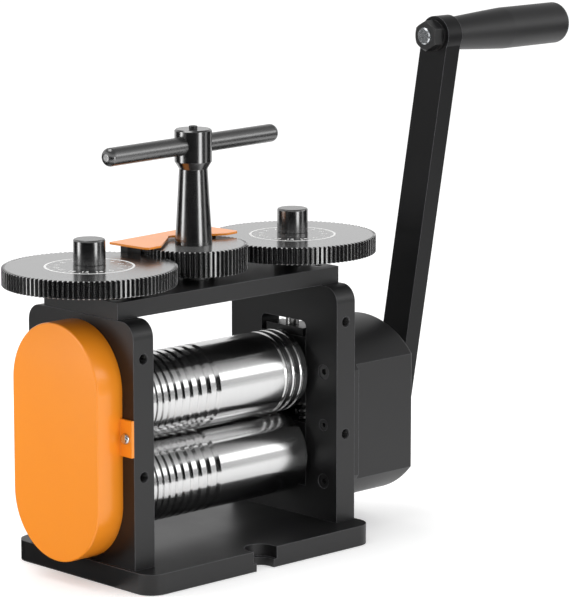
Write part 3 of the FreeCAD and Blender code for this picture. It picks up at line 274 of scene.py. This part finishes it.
def roller_steel(colours):
    """Hardened tool steel, cylindrically ground and polished: lines run round the roller."""
    material, tree, shader = new_material("ground_roller_steel")
    lines = stretched_noise(tree, (0.35, 60.0, 60.0), 3.0)
    round_axis = add(tree, "ShaderNodeTangent", direction_type="RADIAL", axis="X")
    feed(tree, shader, {"Base Color": clouded(tree, lines, colours.roller_steel, 0.9, 1.06),
                        "Metallic": 1.0, "Roughness": between(tree, lines, 0.14, 0.19),
                        "Tangent": round_axis.outputs["Tangent"],
                        "Anisotropic": 0.75, "Anisotropic Rotation": 0.25,
                        "Normal": rounded_bump(tree, lines, 0.004, 0.25, 0.12)})
    return material


def machined(name, base, grain, roughness):
    """Bare machined metal with its tool marks."""
    material, tree, shader = new_material(name)
    marks = stretched_noise(tree, grain, 2.0)
    feed(tree, shader, {"Base Color": clouded(tree, marks, base, 0.82, 1.12), "Metallic": 1.0,
                        "Roughness": between(tree, marks, roughness - 0.05, roughness + 0.08),
                        "Normal": rounded_bump(tree, marks, 0.01, 0.25, 0.2)})
    return material


def grip_plastic(colours):
    """Moulded nylon: dark grey, with the fine matt texture of a sparked mould."""
    material, tree, shader = new_material("moulded_nylon")
    texture = stretched_noise(tree, (0.3, 0.3, 0.3), 3.0)
    cloud = stretched_noise(tree, (18.0, 18.0, 18.0), 1.0)
    feed(tree, shader, {"Base Color": clouded(tree, cloud, colours.grip, 0.9, 1.12),
                        "Roughness": between(tree, texture, 0.42, 0.52),
                        "Normal": rounded_bump(tree, texture, 0.02, 0.3, 0.3)})
    return material


def dial_paint(colours):
    """White ink filled into the blackened dial, slightly uneven."""
    material, tree, shader = new_material("white_dial_ink")
    cover = stretched_noise(tree, (0.6, 0.6, 0.6), 2.0)
    tint = mixed(tree, cover, shade(colours.marks, 0.86), colours.marks)
    feed(tree, shader, {"Base Color": tint, "Roughness": 0.5})
    return material


# ---- helpers for pieces -------------------------------------------------------------

def dress(names, material):
    """Give CAD nodes a finish."""
    for name in names:
        mesh = frame["nodes"][name].data
        mesh.materials.clear()
        mesh.materials.append(material)
        smooth_by_angle(mesh)


def smooth_by_angle(mesh, degrees=SMOOTH_DEGREES):
    """Shade round stretches smooth and keep edges sharper than the angle."""
    mesh.shade_smooth()
    mesh.set_sharp_from_angle(angle=math.radians(degrees))


def loose(name, shape):
    """Object from a bmesh, with all faces turned outwards."""
    mesh = bpy.data.meshes.new(name)
    bmesh.ops.recalc_face_normals(shape, faces=shape.faces)
    shape.to_mesh(mesh)
    shape.free()
    thing = bpy.data.objects.new(name, mesh)
    bpy.context.scene.collection.objects.link(thing)
    return thing


def piece(name, shape, material, body):
    """Object from a bmesh that rides on a body and takes the given finish."""
    thing = loose(name, shape)
    thing.data.materials.append(material)
    smooth_by_angle(thing.data)
    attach(thing, body)


def lathe(shape, profile, place, steps=48):
    """Turn a closed (radius, height) profile about place's local Z into a bmesh."""
    rings = []
    for step in range(steps):
        turn = Matrix.Rotation(2 * math.pi * step / steps, 4, "Z")
        rings.append([shape.verts.new(place @ turn @ Vector((r, 0, h))) for r, h in profile])
    count = len(profile)
    for i in range(steps):
        here, there = rings[i], rings[(i + 1) % steps]
        for j in range(count):
            k = (j + 1) % count
            shape.faces.new((here[j], there[j], there[k], here[k]))


def slab(shape, corners, low, high, place):
    """Prism over flat (x, y) corners between two local heights."""
    bottom = [shape.verts.new(place @ Vector((x, y, low))) for x, y in corners]
    top = [shape.verts.new(place @ Vector((x, y, high))) for x, y in corners]
    shape.faces.new(bottom[::-1])
    shape.faces.new(top)
    for i in range(len(corners)):
        j = (i + 1) % len(corners)
        shape.faces.new((bottom[i], bottom[j], top[j], top[i]))


THREAD_HALF_WIDTH = 0.45        # of the pitch
THREAD_TAPER_STEPS = 6          # from a thread's end to its full height
THREAD_LEAST_HEIGHT = 0.05      # share of the full height at the ends


def helix_ridge(shape, radius, depth, pitch, turns, place, inward=False, steps=40):
    """Thread of triangular section wound about place's local Z, with tapered ends."""
    last = None
    sign = -1 if inward else 1
    total = int(steps * turns)
    for i in range(total + 1):
        angle = 2 * math.pi * i / steps
        height = pitch * i / steps
        fade = min(1.0, i / THREAD_TAPER_STEPS, (total - i) / THREAD_TAPER_STEPS)
        fade = max(fade, THREAD_LEAST_HEIGHT)
        half = THREAD_HALF_WIDTH * pitch * fade
        crest = radius + sign * depth * fade
        turn = Matrix.Rotation(angle, 4, "Z")
        corners = [(radius, height - half), (crest, height), (radius, height + half)]
        ring = [shape.verts.new(place @ turn @ Vector((r, 0, h))) for r, h in corners]
        if last:
            for a, b in ((0, 1), (1, 2), (2, 0)):
                shape.faces.new((last[a], ring[a], ring[b], last[b]))
        else:
            shape.faces.new(ring)
        last = ring
    shape.faces.new(last[::-1])


def facing(point, direction):
    """Placement whose local Z points along direction at a point."""
    turn = Vector(direction).to_track_quat("Z", "Y").to_matrix().to_4x4()
    return Matrix.Translation(Vector(point)) @ turn


def axis_of(node):
    """Middle of a CAD node's box, which is on its axis."""
    low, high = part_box(node)
    return (low + high) / 2


LEAST_TILT_OF_TOP = 0.9         # upward part of a face's normal
MOST_TILT_OF_FLANK = 0.3


def dress_teeth(name, flanks, chamfers):
    """Give a gear's teeth their own finish below its faced top, with a bright chamfer."""
    mesh = frame["nodes"][name].data
    mesh.materials.append(flanks)
    mesh.materials.append(chamfers)
    axis = axis_of(name).xy
    low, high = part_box(name)
    inside_teeth = 0.8 * (high.x - low.x) / 2
    for face in mesh.polygons:
        tilt = abs(face.normal.z)
        if (face.center.xy - axis).length > inside_teeth and tilt < LEAST_TILT_OF_TOP:
            face.material_index = 1 if tilt < MOST_TILT_OF_FLANK else 2


# ---- finishes of the CAD pieces -----------------------------------------------------

class MILL_OT_frame(bpy.types.Operator):
    """Powder coat the frame, the housing, the posts and the crank arm"""
    bl_idname = "mill.frame"
    bl_label = "Frame finish"

    def execute(self, context):
        colours = context.scene.mill_colours
        dress(["base_plate", "left_side_plate", "right_side_plate", "top_plate",
               "gear_housing", "pointer_posts"], powder_coat(colours, "black_powder_coat", 0.5))
        dress(["crank_arm"], powder_coat(colours, "matt_black_powder_coat", 0.2))
        return {"FINISHED"}


class MILL_OT_cover(bpy.types.Operator):
    """Enamel the gear cover and the pointer plate"""
    bl_idname = "mill.cover"
    bl_label = "Cover finish"

    def execute(self, context):
        dress(["gear_cover", "pointer_plate"], enamel(context.scene.mill_colours))
        return {"FINISHED"}


class MILL_OT_rollers(bpy.types.Operator):
    """Polish the two rollers"""
    bl_idname = "mill.rollers"
    bl_label = "Roller finish"

    def execute(self, context):
        dress(["lower_roller", "upper_roller"], roller_steel(context.scene.mill_colours))
        return {"FINISHED"}


class MILL_OT_blackened(bpy.types.Operator):
    """Blacken the screw-down gears, the tee handle, the knobs, the bearings and the screws"""
    bl_idname = "mill.blackened"
    bl_label = "Blackened steel"

    def execute(self, context):
        colours = context.scene.mill_colours
        faced = black_oxide(colours, "blackened_faced_steel", (1.2, 1.2, 0.5), 0.2, oil=0.5)
        hobbed = black_oxide(colours, "blackened_hobbed_steel", (2.0, 2.0, 8.0), 0.2, wear_and_highlight=0.1)
        bright = machined("chamfered_bare_steel", colours.roller_steel, (0.5, 0.5, 0.5), 0.5)
        gears = ["left_dial_gear", "right_dial_gear", "centre_gear"]
        dress(gears, faced)
        for name in gears:
            dress_teeth(name, hobbed, bright)
        turned = black_oxide(colours, "blackened_turned_steel", (9.0, 9.0, 0.4), 0.2)
        dress(["left_knob", "right_knob", "handle_spindle"], turned)
        drawn = black_oxide(colours, "blackened_drawn_bar", (20.0, 0.6, 0.6), 0.27)
        dress(["cross_bar"], drawn)
        forged = black_oxide(colours, "blackened_fastener_steel", (0.8, 0.8, 0.8), 0.32, index=1.6)
        dress(["base_screws", "top_plate_screws", "housing_screws", "locating_screws",
               "pointer_post_screws", "pointer_screws", "set_screw", "spindle_washer",
               "spindle_ring", "arm_screw", "grip_nut", "grip_washer", "thrust_pads",
               "lower_roller_rings", "upper_roller_ring", "crank_shaft", "lower_left_bearing",
               "lower_right_bearing", "upper_left_bearing", "upper_right_bearing"], forged)
        return {"FINISHED"}


class MILL_OT_bushes(bpy.types.Operator):
    """Give the screw nuts and the bushes their bronze"""
    bl_idname = "mill.bushes"
    bl_label = "Bronze"

    def execute(self, context):
        bronze = machined("milled_bearing_bronze", context.scene.mill_colours.bronze,
                          (0.5, 0.5, 6.0), 0.34)
        dress(["screw_nuts", "spindle_bush", "crank_bush"], bronze)
        return {"FINISHED"}


class MILL_OT_inner_steel(bpy.types.Operator):
    """Give the inner gears, keys, springs and screws their bare steel"""
    bl_idname = "mill.inner_steel"
    bl_label = "Bare steel"

    def execute(self, context):
        colours = context.scene.mill_colours
        steel = machined("hobbed_bare_steel", colours.bare_steel, (6.0, 0.4, 0.4), 0.3)
        dress(["lower_roller_gear", "upper_roller_gear", "drive_gear", "lower_roller_keys",
               "upper_roller_key", "left_pressure_screw", "right_pressure_screw",
               "spindle_key", "grip_ring"], steel)
        tempered = machined("oil_tempered_spring_steel", shade(colours.bare_steel, 0.2),
                            (0.4, 0.4, 0.4), 0.3)
        dress(["lift_springs"], tempered)
        return {"FINISHED"}


class MILL_OT_grip(bpy.types.Operator):
    """Finish the hand grip and its bolt, and cut the thread of the bolt's end"""
    bl_idname = "mill.grip"
    bl_label = "Grip"

    def execute(self, context):
        colours = context.scene.mill_colours
        sizes = context.scene.mill_sizes
        dress(["hand_grip"], grip_plastic(colours))
        zinc = machined("bright_zinc_plate", colours.zinc, (0.7, 0.7, 0.7), 0.2)
        dress(["grip_bolt"], zinc)
        end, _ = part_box("grip_bolt")
        nut_face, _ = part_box("grip_nut")
        middle = axis_of("grip_bolt")
        bolt_end_to_thread = 0.35 * MM
        both_margins = 0.6 * MM
        root_radius = 3.98 * MM
        thread_height = 0.25 * MM
        shape = bmesh.new()
        place = facing((end.x + bolt_end_to_thread, middle.y, middle.z), (1, 0, 0))
        turns = (nut_face.x - end.x - both_margins) / sizes.bolt_pitch
        helix_ridge(shape, root_radius, thread_height, sizes.bolt_pitch, turns, place)
        piece("grip_bolt_thread", shape, zinc, "crank")
        return {"FINISHED"}


# ---- dials --------------------------------------------------------------------------

def dial_face(node):
    """Middle of a dial gear's printed face: its axis at the height of its rim."""
    middle = axis_of(node)
    low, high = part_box(node)
    reach = (high.x - low.x) / 3
    rim = [v.co.z for v in frame["nodes"][node].data.vertices
           if (v.co.xy - middle.xy).length > reach]
    return Vector((middle.x, middle.y, max(rim)))


CAP_HEIGHT = 0.7                # of a numeral over its text size
STROKE_OFFSET = 0.02            # of the height, which makes the strokes bolder


def add_numeral(shape, text, place, height, thickness):
    """Raise one numeral, drawn in Blender's own plain face, above the dial."""
    curve = bpy.data.curves.new("numeral", "FONT")
    curve.body = text
    curve.align_x = "CENTER"
    curve.align_y = "CENTER"
    curve.size = height / CAP_HEIGHT
    curve.offset = STROKE_OFFSET * height
    curve.extrude = thickness / 2
    holder = bpy.data.objects.new("numeral", curve)
    mesh = bpy.data.meshes.new_from_object(holder)
    mesh.transform(place @ Matrix.Translation((0, 0, thickness / 2)))
    shape.from_mesh(mesh)
    bpy.data.objects.remove(holder)
    bpy.data.curves.remove(curve)
    bpy.data.meshes.remove(mesh)


def dial_marks(node, sizes):
    """Ring, ticks and numerals of one dial, as raised ink."""
    face = Matrix.Translation(dial_face(node))
    shape = bmesh.new()
    high = sizes.paint_thickness
    outer = sizes.ring_radius
    inner = outer - sizes.ring_width
    lathe(shape, [(inner, 0), (outer, 0), (outer, high), (inner, high)], face, 96)
    half = sizes.tick_width / 2
    for step in range(2 * sizes.dial_steps):
        reach = sizes.short_tick if step % 2 else sizes.long_tick
        turn = Matrix.Rotation(math.pi * step / sizes.dial_steps, 4, "Z")
        tick = [(inner - reach, -half), (inner, -half), (inner, half), (inner - reach, half)]
        slab(shape, tick, 0, high, face @ turn)
    for step in range(sizes.dial_steps):
        angle = 2 * math.pi * step / sizes.dial_steps - math.pi / 2
        turn = Matrix.Rotation(angle, 4, "Z")
        upright = Matrix.Rotation(math.pi / 2, 4, "Z")
        out = Matrix.Translation((sizes.numeral_radius, 0, 0))
        add_numeral(shape, str(step), face @ turn @ out @ upright, sizes.numeral_height, high)
    return shape


class MILL_OT_dials(bpy.types.Operator):
    """Print the ring, ticks and numerals on both dial gears"""
    bl_idname = "mill.dials"
    bl_label = "Dial marks"

    def execute(self, context):
        ink = dial_paint(context.scene.mill_colours)
        for side in ("left", "right"):
            shape = dial_marks(side + "_dial_gear", context.scene.mill_sizes)
            piece(side + "_dial_marks", shape, ink, side + "_screw")
        return {"FINISHED"}


# ---- small fasteners and threads ----------------------------------------------------

def carve(target, cutter):
    """Cut one object out of another and leave the result as the target's mesh."""
    cut = target.modifiers.new("cut", "BOOLEAN")
    cut.object = cutter
    cut.operation = "DIFFERENCE"
    cut.solver = "EXACT"
    graph = bpy.context.evaluated_depsgraph_get()
    result = bpy.data.meshes.new_from_object(target.evaluated_get(graph))
    target.modifiers.remove(cut)
    target.data = result
    bpy.data.objects.remove(cutter)


def solid_lathe(shape, profile, place, steps=48):
    """Turn an open (radius, height) profile that starts and ends on the axis."""
    low = shape.verts.new(place @ Vector((0, 0, profile[0][1])))
    high = shape.verts.new(place @ Vector((0, 0, profile[-1][1])))
    middle = profile[1:-1]
    rings = []
    for step in range(steps):
        turn = Matrix.Rotation(2 * math.pi * step / steps, 4, "Z")
        rings.append([shape.verts.new(place @ turn @ Vector((r, 0, h))) for r, h in middle])
    for i in range(steps):
        here, there = rings[i], rings[(i + 1) % steps]
        shape.faces.new((low, there[0], here[0]))
        shape.faces.new((high, here[-1], there[-1]))
        for j in range(len(middle) - 1):
            shape.faces.new((here[j], there[j], there[j + 1], here[j + 1]))


# (radius, height) of the dome as shares of a head's radius and rise
HEAD_DOME = ((1.0, 0.25), (0.97, 0.5), (0.85, 0.78), (0.6, 0.94), (0.3, 1.0))
HEAD_SMOOTH_DEGREES = 30


class MILL_OT_cover_screws(bpy.types.Operator):
    """Model the cover's pan head screws with their cross recesses"""
    bl_idname = "mill.cover_screws"
    bl_label = "Cover screws"

    def execute(self, context):
        sizes = context.scene.mill_sizes
        low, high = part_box("cover_screws")
        tab_thickness = 1.5 * MM
        face_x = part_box("gear_cover")[1].x - tab_thickness
        head = (high.z - low.z) / 2
        rise = face_x - low.x
        shank = 1.25 * MM
        half = sizes.recess_width / 2
        reach = 0.62 * head
        arm = [(-reach, -half), (reach, -half), (reach, half), (-reach, half)]
        recess_floor = 0.35 * rise
        heads, cuts = bmesh.new(), bmesh.new()
        for y in (low.y + head, high.y - head):
            place = facing((face_x, y, (low.z + high.z) / 2), (-1, 0, 0))
            dome = [(radius * head, height * rise) for radius, height in HEAD_DOME]
            profile = [(0, face_x - high.x), (shank, face_x - high.x), (shank, 0), (head, 0)]
            solid_lathe(heads, profile + dome + [(0, rise)], place)
            for quarter in (math.pi / 4, 3 * math.pi / 4):
                slab(cuts, arm, recess_floor, 2 * rise, place @ Matrix.Rotation(quarter, 4, "Z"))
        thing = loose("cover_screw_heads", heads)
        carve(thing, loose("recesses", cuts))
        thing.data.materials.clear()
        thing.data.materials.append(bpy.data.materials["bright_zinc_plate"])
        smooth_by_angle(thing.data, HEAD_SMOOTH_DEGREES)
        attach(thing, "frame")
        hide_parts("cover_screws")
        return {"FINISHED"}


class MILL_OT_table_holes(bpy.types.Operator):
    """Cut the threads in the front edges' tapped holes"""
    bl_idname = "mill.table_holes"
    bl_label = "Tapped holes"

    def execute(self, context):
        sizes = context.scene.mill_sizes
        # The thread's steel is darkened to 0.12 of bare steel: painted shade deep inside the
        # holes.
        bare = machined("tapped_steel_in_painted_hole_shade", shade(context.scene.mill_colours.bare_steel, 0.12),
                        (0.5, 0.5, 0.5), 0.28)
        mount = next(m for m in frame["record"]["mounts"] if m["name"] == "table_holes")
        across = mount["dims"]["spacing_x_mm"] * MM / 2
        upright = mount["dims"]["spacing_y_mm"] * MM / 2
        radius = mount["dims"]["hole_r_mm"] * MM
        middle = Vector(mount["pos_m"])
        mouth_to_thread = Vector((0, 1.1 * MM, 0))
        overlap = 0.01 * MM
        thread_height = 0.3 * MM
        turns = 9
        shape = bmesh.new()
        for sx in (-1, 1):
            for sz in (-1, 1):
                mouth = middle + Vector((sx * across, 0, sz * upright))
                helix_ridge(shape, radius - overlap, thread_height, sizes.table_pitch, turns,
                            facing(mouth + mouth_to_thread, (0, 1, 0)), inward=True)
        piece("table_hole_threads", shape, bare, "frame")
        return {"FINISHED"}


# ---- stage --------------------------------------------------------------------------

AIM_HEIGHT = 0.12               # the lamps and flags point at the mill's middle
WALL_ENDS = 0.42                # upward part of the direction where the ceiling begins
CEILING_FULL = 0.7
FLOOR_REACH = 14.0
FLOOR_DROP = 0.0002
FLOOR_GREY = 0.86
FLOOR_GLOW = 0.34               # brings the seen floor to white

# name, azimuth from the camera's side in degrees, distance, height, size, radiance
SOFT_BOXES = (("left_strip", -74, 0.6, AIM_HEIGHT, (0.16, 0.22), 4.5),
              ("front_strip", 46, 0.6, AIM_HEIGHT, (0.16, 0.22), 4.5),
              ("right_box", 89, 1.3, 0.5, (0.9, 0.36), 1.5))
TOP_BOX_PLACE = Vector((-0.1, 0.3, 1.3))
TOP_BOX_SIZE = (0.9, 0.6)
TOP_BOX_RADIANCE = 3

# name, azimuth, distance, width
FLAGS = (("camera_flag", -12, 0.42, 0.86),
         ("left_flag", -105, 0.6, 0.46),
         ("front_flag", 68, 0.6, 0.255),
         ("right_flag", 109, 0.6, 0.345))
FLOOR_FLAG_AZIMUTH = -97
FLOOR_FLAG_DISTANCE = 0.33
FLOOR_FLAG_LIFT = 0.0005
FLOOR_FLAG_SIZE = (0.4, 0.56)


def seen_directly(tree):
    """1 for rays from the camera, a mirror or glass, and 0 for all other light."""
    path = add(tree, "ShaderNodeLightPath")
    first = add(tree, "ShaderNodeMath", {0: path.outputs["Is Camera Ray"],
                                         1: path.outputs["Is Glossy Ray"]}, operation="MAXIMUM")
    both = add(tree, "ShaderNodeMath", {0: first.outputs[0],
                                        1: path.outputs["Is Transmission Ray"]},
               operation="MAXIMUM")
    return both.outputs[0]


def white_world(stage):
    """White surroundings under a darker ceiling, softer as a light than where they are seen."""
    world = bpy.data.worlds.new("white_studio")
    tree = cleared_tree(world)
    direction = add(tree, "ShaderNodeTexCoord")
    height = add(tree, "ShaderNodeSeparateXYZ", {0: direction.outputs["Generated"]})
    wall = add(tree, "ShaderNodeMapRange", {"Value": height.outputs["Z"],
                                            "From Min": WALL_ENDS, "From Max": CEILING_FULL,
                                            "To Min": 1.0, "To Max": stage.ceiling})
    strength = add(tree, "ShaderNodeMapRange", {"Value": seen_directly(tree),
                                                "To Min": stage.ambient,
                                                "To Max": wall.outputs["Result"]})
    back = add(tree, "ShaderNodeBackground", {"Color": (1, 1, 1, 1),
                                              "Strength": strength.outputs["Result"]})
    add(tree, "ShaderNodeOutputWorld", {"Surface": back.outputs[0]})
    bpy.context.scene.world = world


def card(name, half_side, material):
    """Flat square that isn't in the scene yet."""
    shape = bmesh.new()
    bmesh.ops.create_grid(shape, x_segments=1, y_segments=1, size=half_side)
    mesh = bpy.data.meshes.new(name)
    shape.to_mesh(mesh)
    shape.free()
    mesh.materials.append(material)
    return bpy.data.objects.new(name, mesh)


def pale_floor():
    """Large pale floor that catches the shadow and looks white in the open."""
    material = bpy.data.materials.new("pale_studio_floor")
    tree = cleared_tree(material)
    matt = add(tree, "ShaderNodeBsdfDiffuse", {"Color": (FLOOR_GREY, FLOOR_GREY, FLOOR_GREY, 1)})
    strength = between(tree, seen_directly(tree), 0, FLOOR_GLOW)
    glow = add(tree, "ShaderNodeEmission", {"Strength": strength})
    both = add(tree, "ShaderNodeAddShader", {0: matt.outputs[0], 1: glow.outputs[0]})
    add(tree, "ShaderNodeOutputMaterial", {"Surface": both.outputs[0]})
    floor = card("floor", FLOOR_REACH, material)
    floor.location.z = -FLOOR_DROP
    bpy.context.scene.collection.objects.link(floor)


def around(azimuth, distance, height):
    """Point beside the mill, azimuth in degrees from the camera's side towards its right."""
    turn = math.radians(azimuth) - math.pi / 2 - bpy.context.scene.mill_stage.camera_yaw
    return Vector((distance * math.cos(turn), distance * math.sin(turn), height))


def aimed(thing, place, target):
    """Stand a thing at a place with its local Z turned away from a target."""
    thing.location = place
    thing.rotation_euler = (place - target).to_track_quat("Z", "Y").to_euler()
    bpy.context.scene.collection.objects.link(thing)


def soft_box(name, place, target, size, radiance):
    """Rectangular studio lamp aimed at a point, as bright as its radiance from every side."""
    lamp = bpy.data.lights.new(name, "AREA")
    lamp.shape = "RECTANGLE"
    lamp.size, lamp.size_y = size
    lamp.energy = radiance * math.pi * lamp.size * lamp.size_y
    holder = bpy.data.objects.new(name, lamp)
    holder.visible_camera = False
    aimed(holder, place, target)


def black_flag(name, place, target, size, material):
    """Black card that only reflections meet: it keeps glare off the dark flanks."""
    flag = card(name, half_side=0.5, material=material)
    flag.scale = (*size, 1.0)
    flag.visible_camera = False
    flag.visible_diffuse = False
    flag.visible_transmission = False
    flag.visible_shadow = False
    aimed(flag, place, target)


def flag_felt():
    """Black duvetyne of the flags."""
    material, tree, shader = new_material("black_duvetyne")
    weave = stretched_noise(tree, (2.0, 2.0, 2.0), 2.0)
    tint = mixed(tree, weave, linear("#0a0a0a"), linear("#121212"))
    feed(tree, shader, {"Base Color": tint, "Roughness": 0.95, "Specular IOR Level": 0.0})
    return material


def aim_camera(stage):
    """Stand the camera at its place and make it the scene's."""
    lens = bpy.data.cameras.new("camera")
    lens.lens = stage.focal
    lens.sensor_width = 36.0
    lens.clip_end = 50.0
    camera = bpy.data.objects.new("camera", lens)
    camera.location = stage.camera_place
    camera.rotation_euler = (math.pi / 2 - stage.camera_pitch, 0, -stage.camera_yaw)
    bpy.context.scene.collection.objects.link(camera)
    bpy.context.scene.camera = camera


class MILL_OT_stage(bpy.types.Operator):
    """Set the floor, the lamps, the white surroundings and the camera"""
    bl_idname = "mill.stage"
    bl_label = "Stage"

    def execute(self, context):
        stage = context.scene.mill_stage
        white_world(stage)
        pale_floor()
        middle = Vector((0.0, 0.0, AIM_HEIGHT))
        for name, azimuth, distance, height, size, radiance in SOFT_BOXES:
            soft_box(name, around(azimuth, distance, height), middle, size, radiance)
        soft_box("top_box", TOP_BOX_PLACE, middle, TOP_BOX_SIZE, TOP_BOX_RADIANCE)
        felt = flag_felt()
        for name, azimuth, distance, width in FLAGS:
            place = around(azimuth, distance, AIM_HEIGHT)
            black_flag(name, place, middle, (width, 2 * AIM_HEIGHT), felt)
        low = around(FLOOR_FLAG_AZIMUTH, FLOOR_FLAG_DISTANCE, FLOOR_FLAG_LIFT)
        above = around(FLOOR_FLAG_AZIMUTH, FLOOR_FLAG_DISTANCE, 1)
        black_flag("floor_flag", low, above, FLOOR_FLAG_SIZE, felt)
        aim_camera(stage)
        context.scene.view_settings.view_transform = "Standard"
        return {"FINISHED"}


# ---- panel and run ------------------------------------------------------------------

OPERATORS = (MILL_OT_frame, MILL_OT_cover, MILL_OT_rollers, MILL_OT_blackened,
             MILL_OT_bushes, MILL_OT_inner_steel, MILL_OT_grip, MILL_OT_dials,
             MILL_OT_cover_screws, MILL_OT_table_holes, MILL_OT_stage)


class MILL_PT_looks(bpy.types.Panel):
    """Lists the mill's pieces, finishes and stage"""
    bl_label = "Rolling Mill"
    bl_idname = "MILL_PT_looks"
    bl_space_type = "VIEW_3D"
    bl_region_type = "UI"
    bl_category = "Mill"

    def draw(self, context):
        scene = context.scene
        for group in (scene.mill_colours, scene.mill_sizes, scene.mill_stage):
            box = self.layout.box()
            for name in group.__annotations__:
                box.prop(group, name)
        for operator in OPERATORS:
            self.layout.operator(operator.bl_idname)


CLASSES = (MillColours, MillSizes, MillStage, *OPERATORS, MILL_PT_looks)


def register():
    """Register the classes and hang the properties on the scene."""
    for item in CLASSES:
        bpy.utils.register_class(item)
    bpy.types.Scene.mill_colours = PointerProperty(type=MillColours)
    bpy.types.Scene.mill_sizes = PointerProperty(type=MillSizes)
    bpy.types.Scene.mill_stage = PointerProperty(type=MillStage)


def unregister():
    """Undo register."""
    del bpy.types.Scene.mill_stage
    del bpy.types.Scene.mill_sizes
    del bpy.types.Scene.mill_colours
    for item in reversed(CLASSES):
        bpy.utils.unregister_class(item)


def main():
    """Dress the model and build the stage."""
    register()
    for operator in OPERATORS:
        group, name = operator.bl_idname.split(".")
        getattr(getattr(bpy.ops, group), name)()


if __name__ == "__main__":
    main()
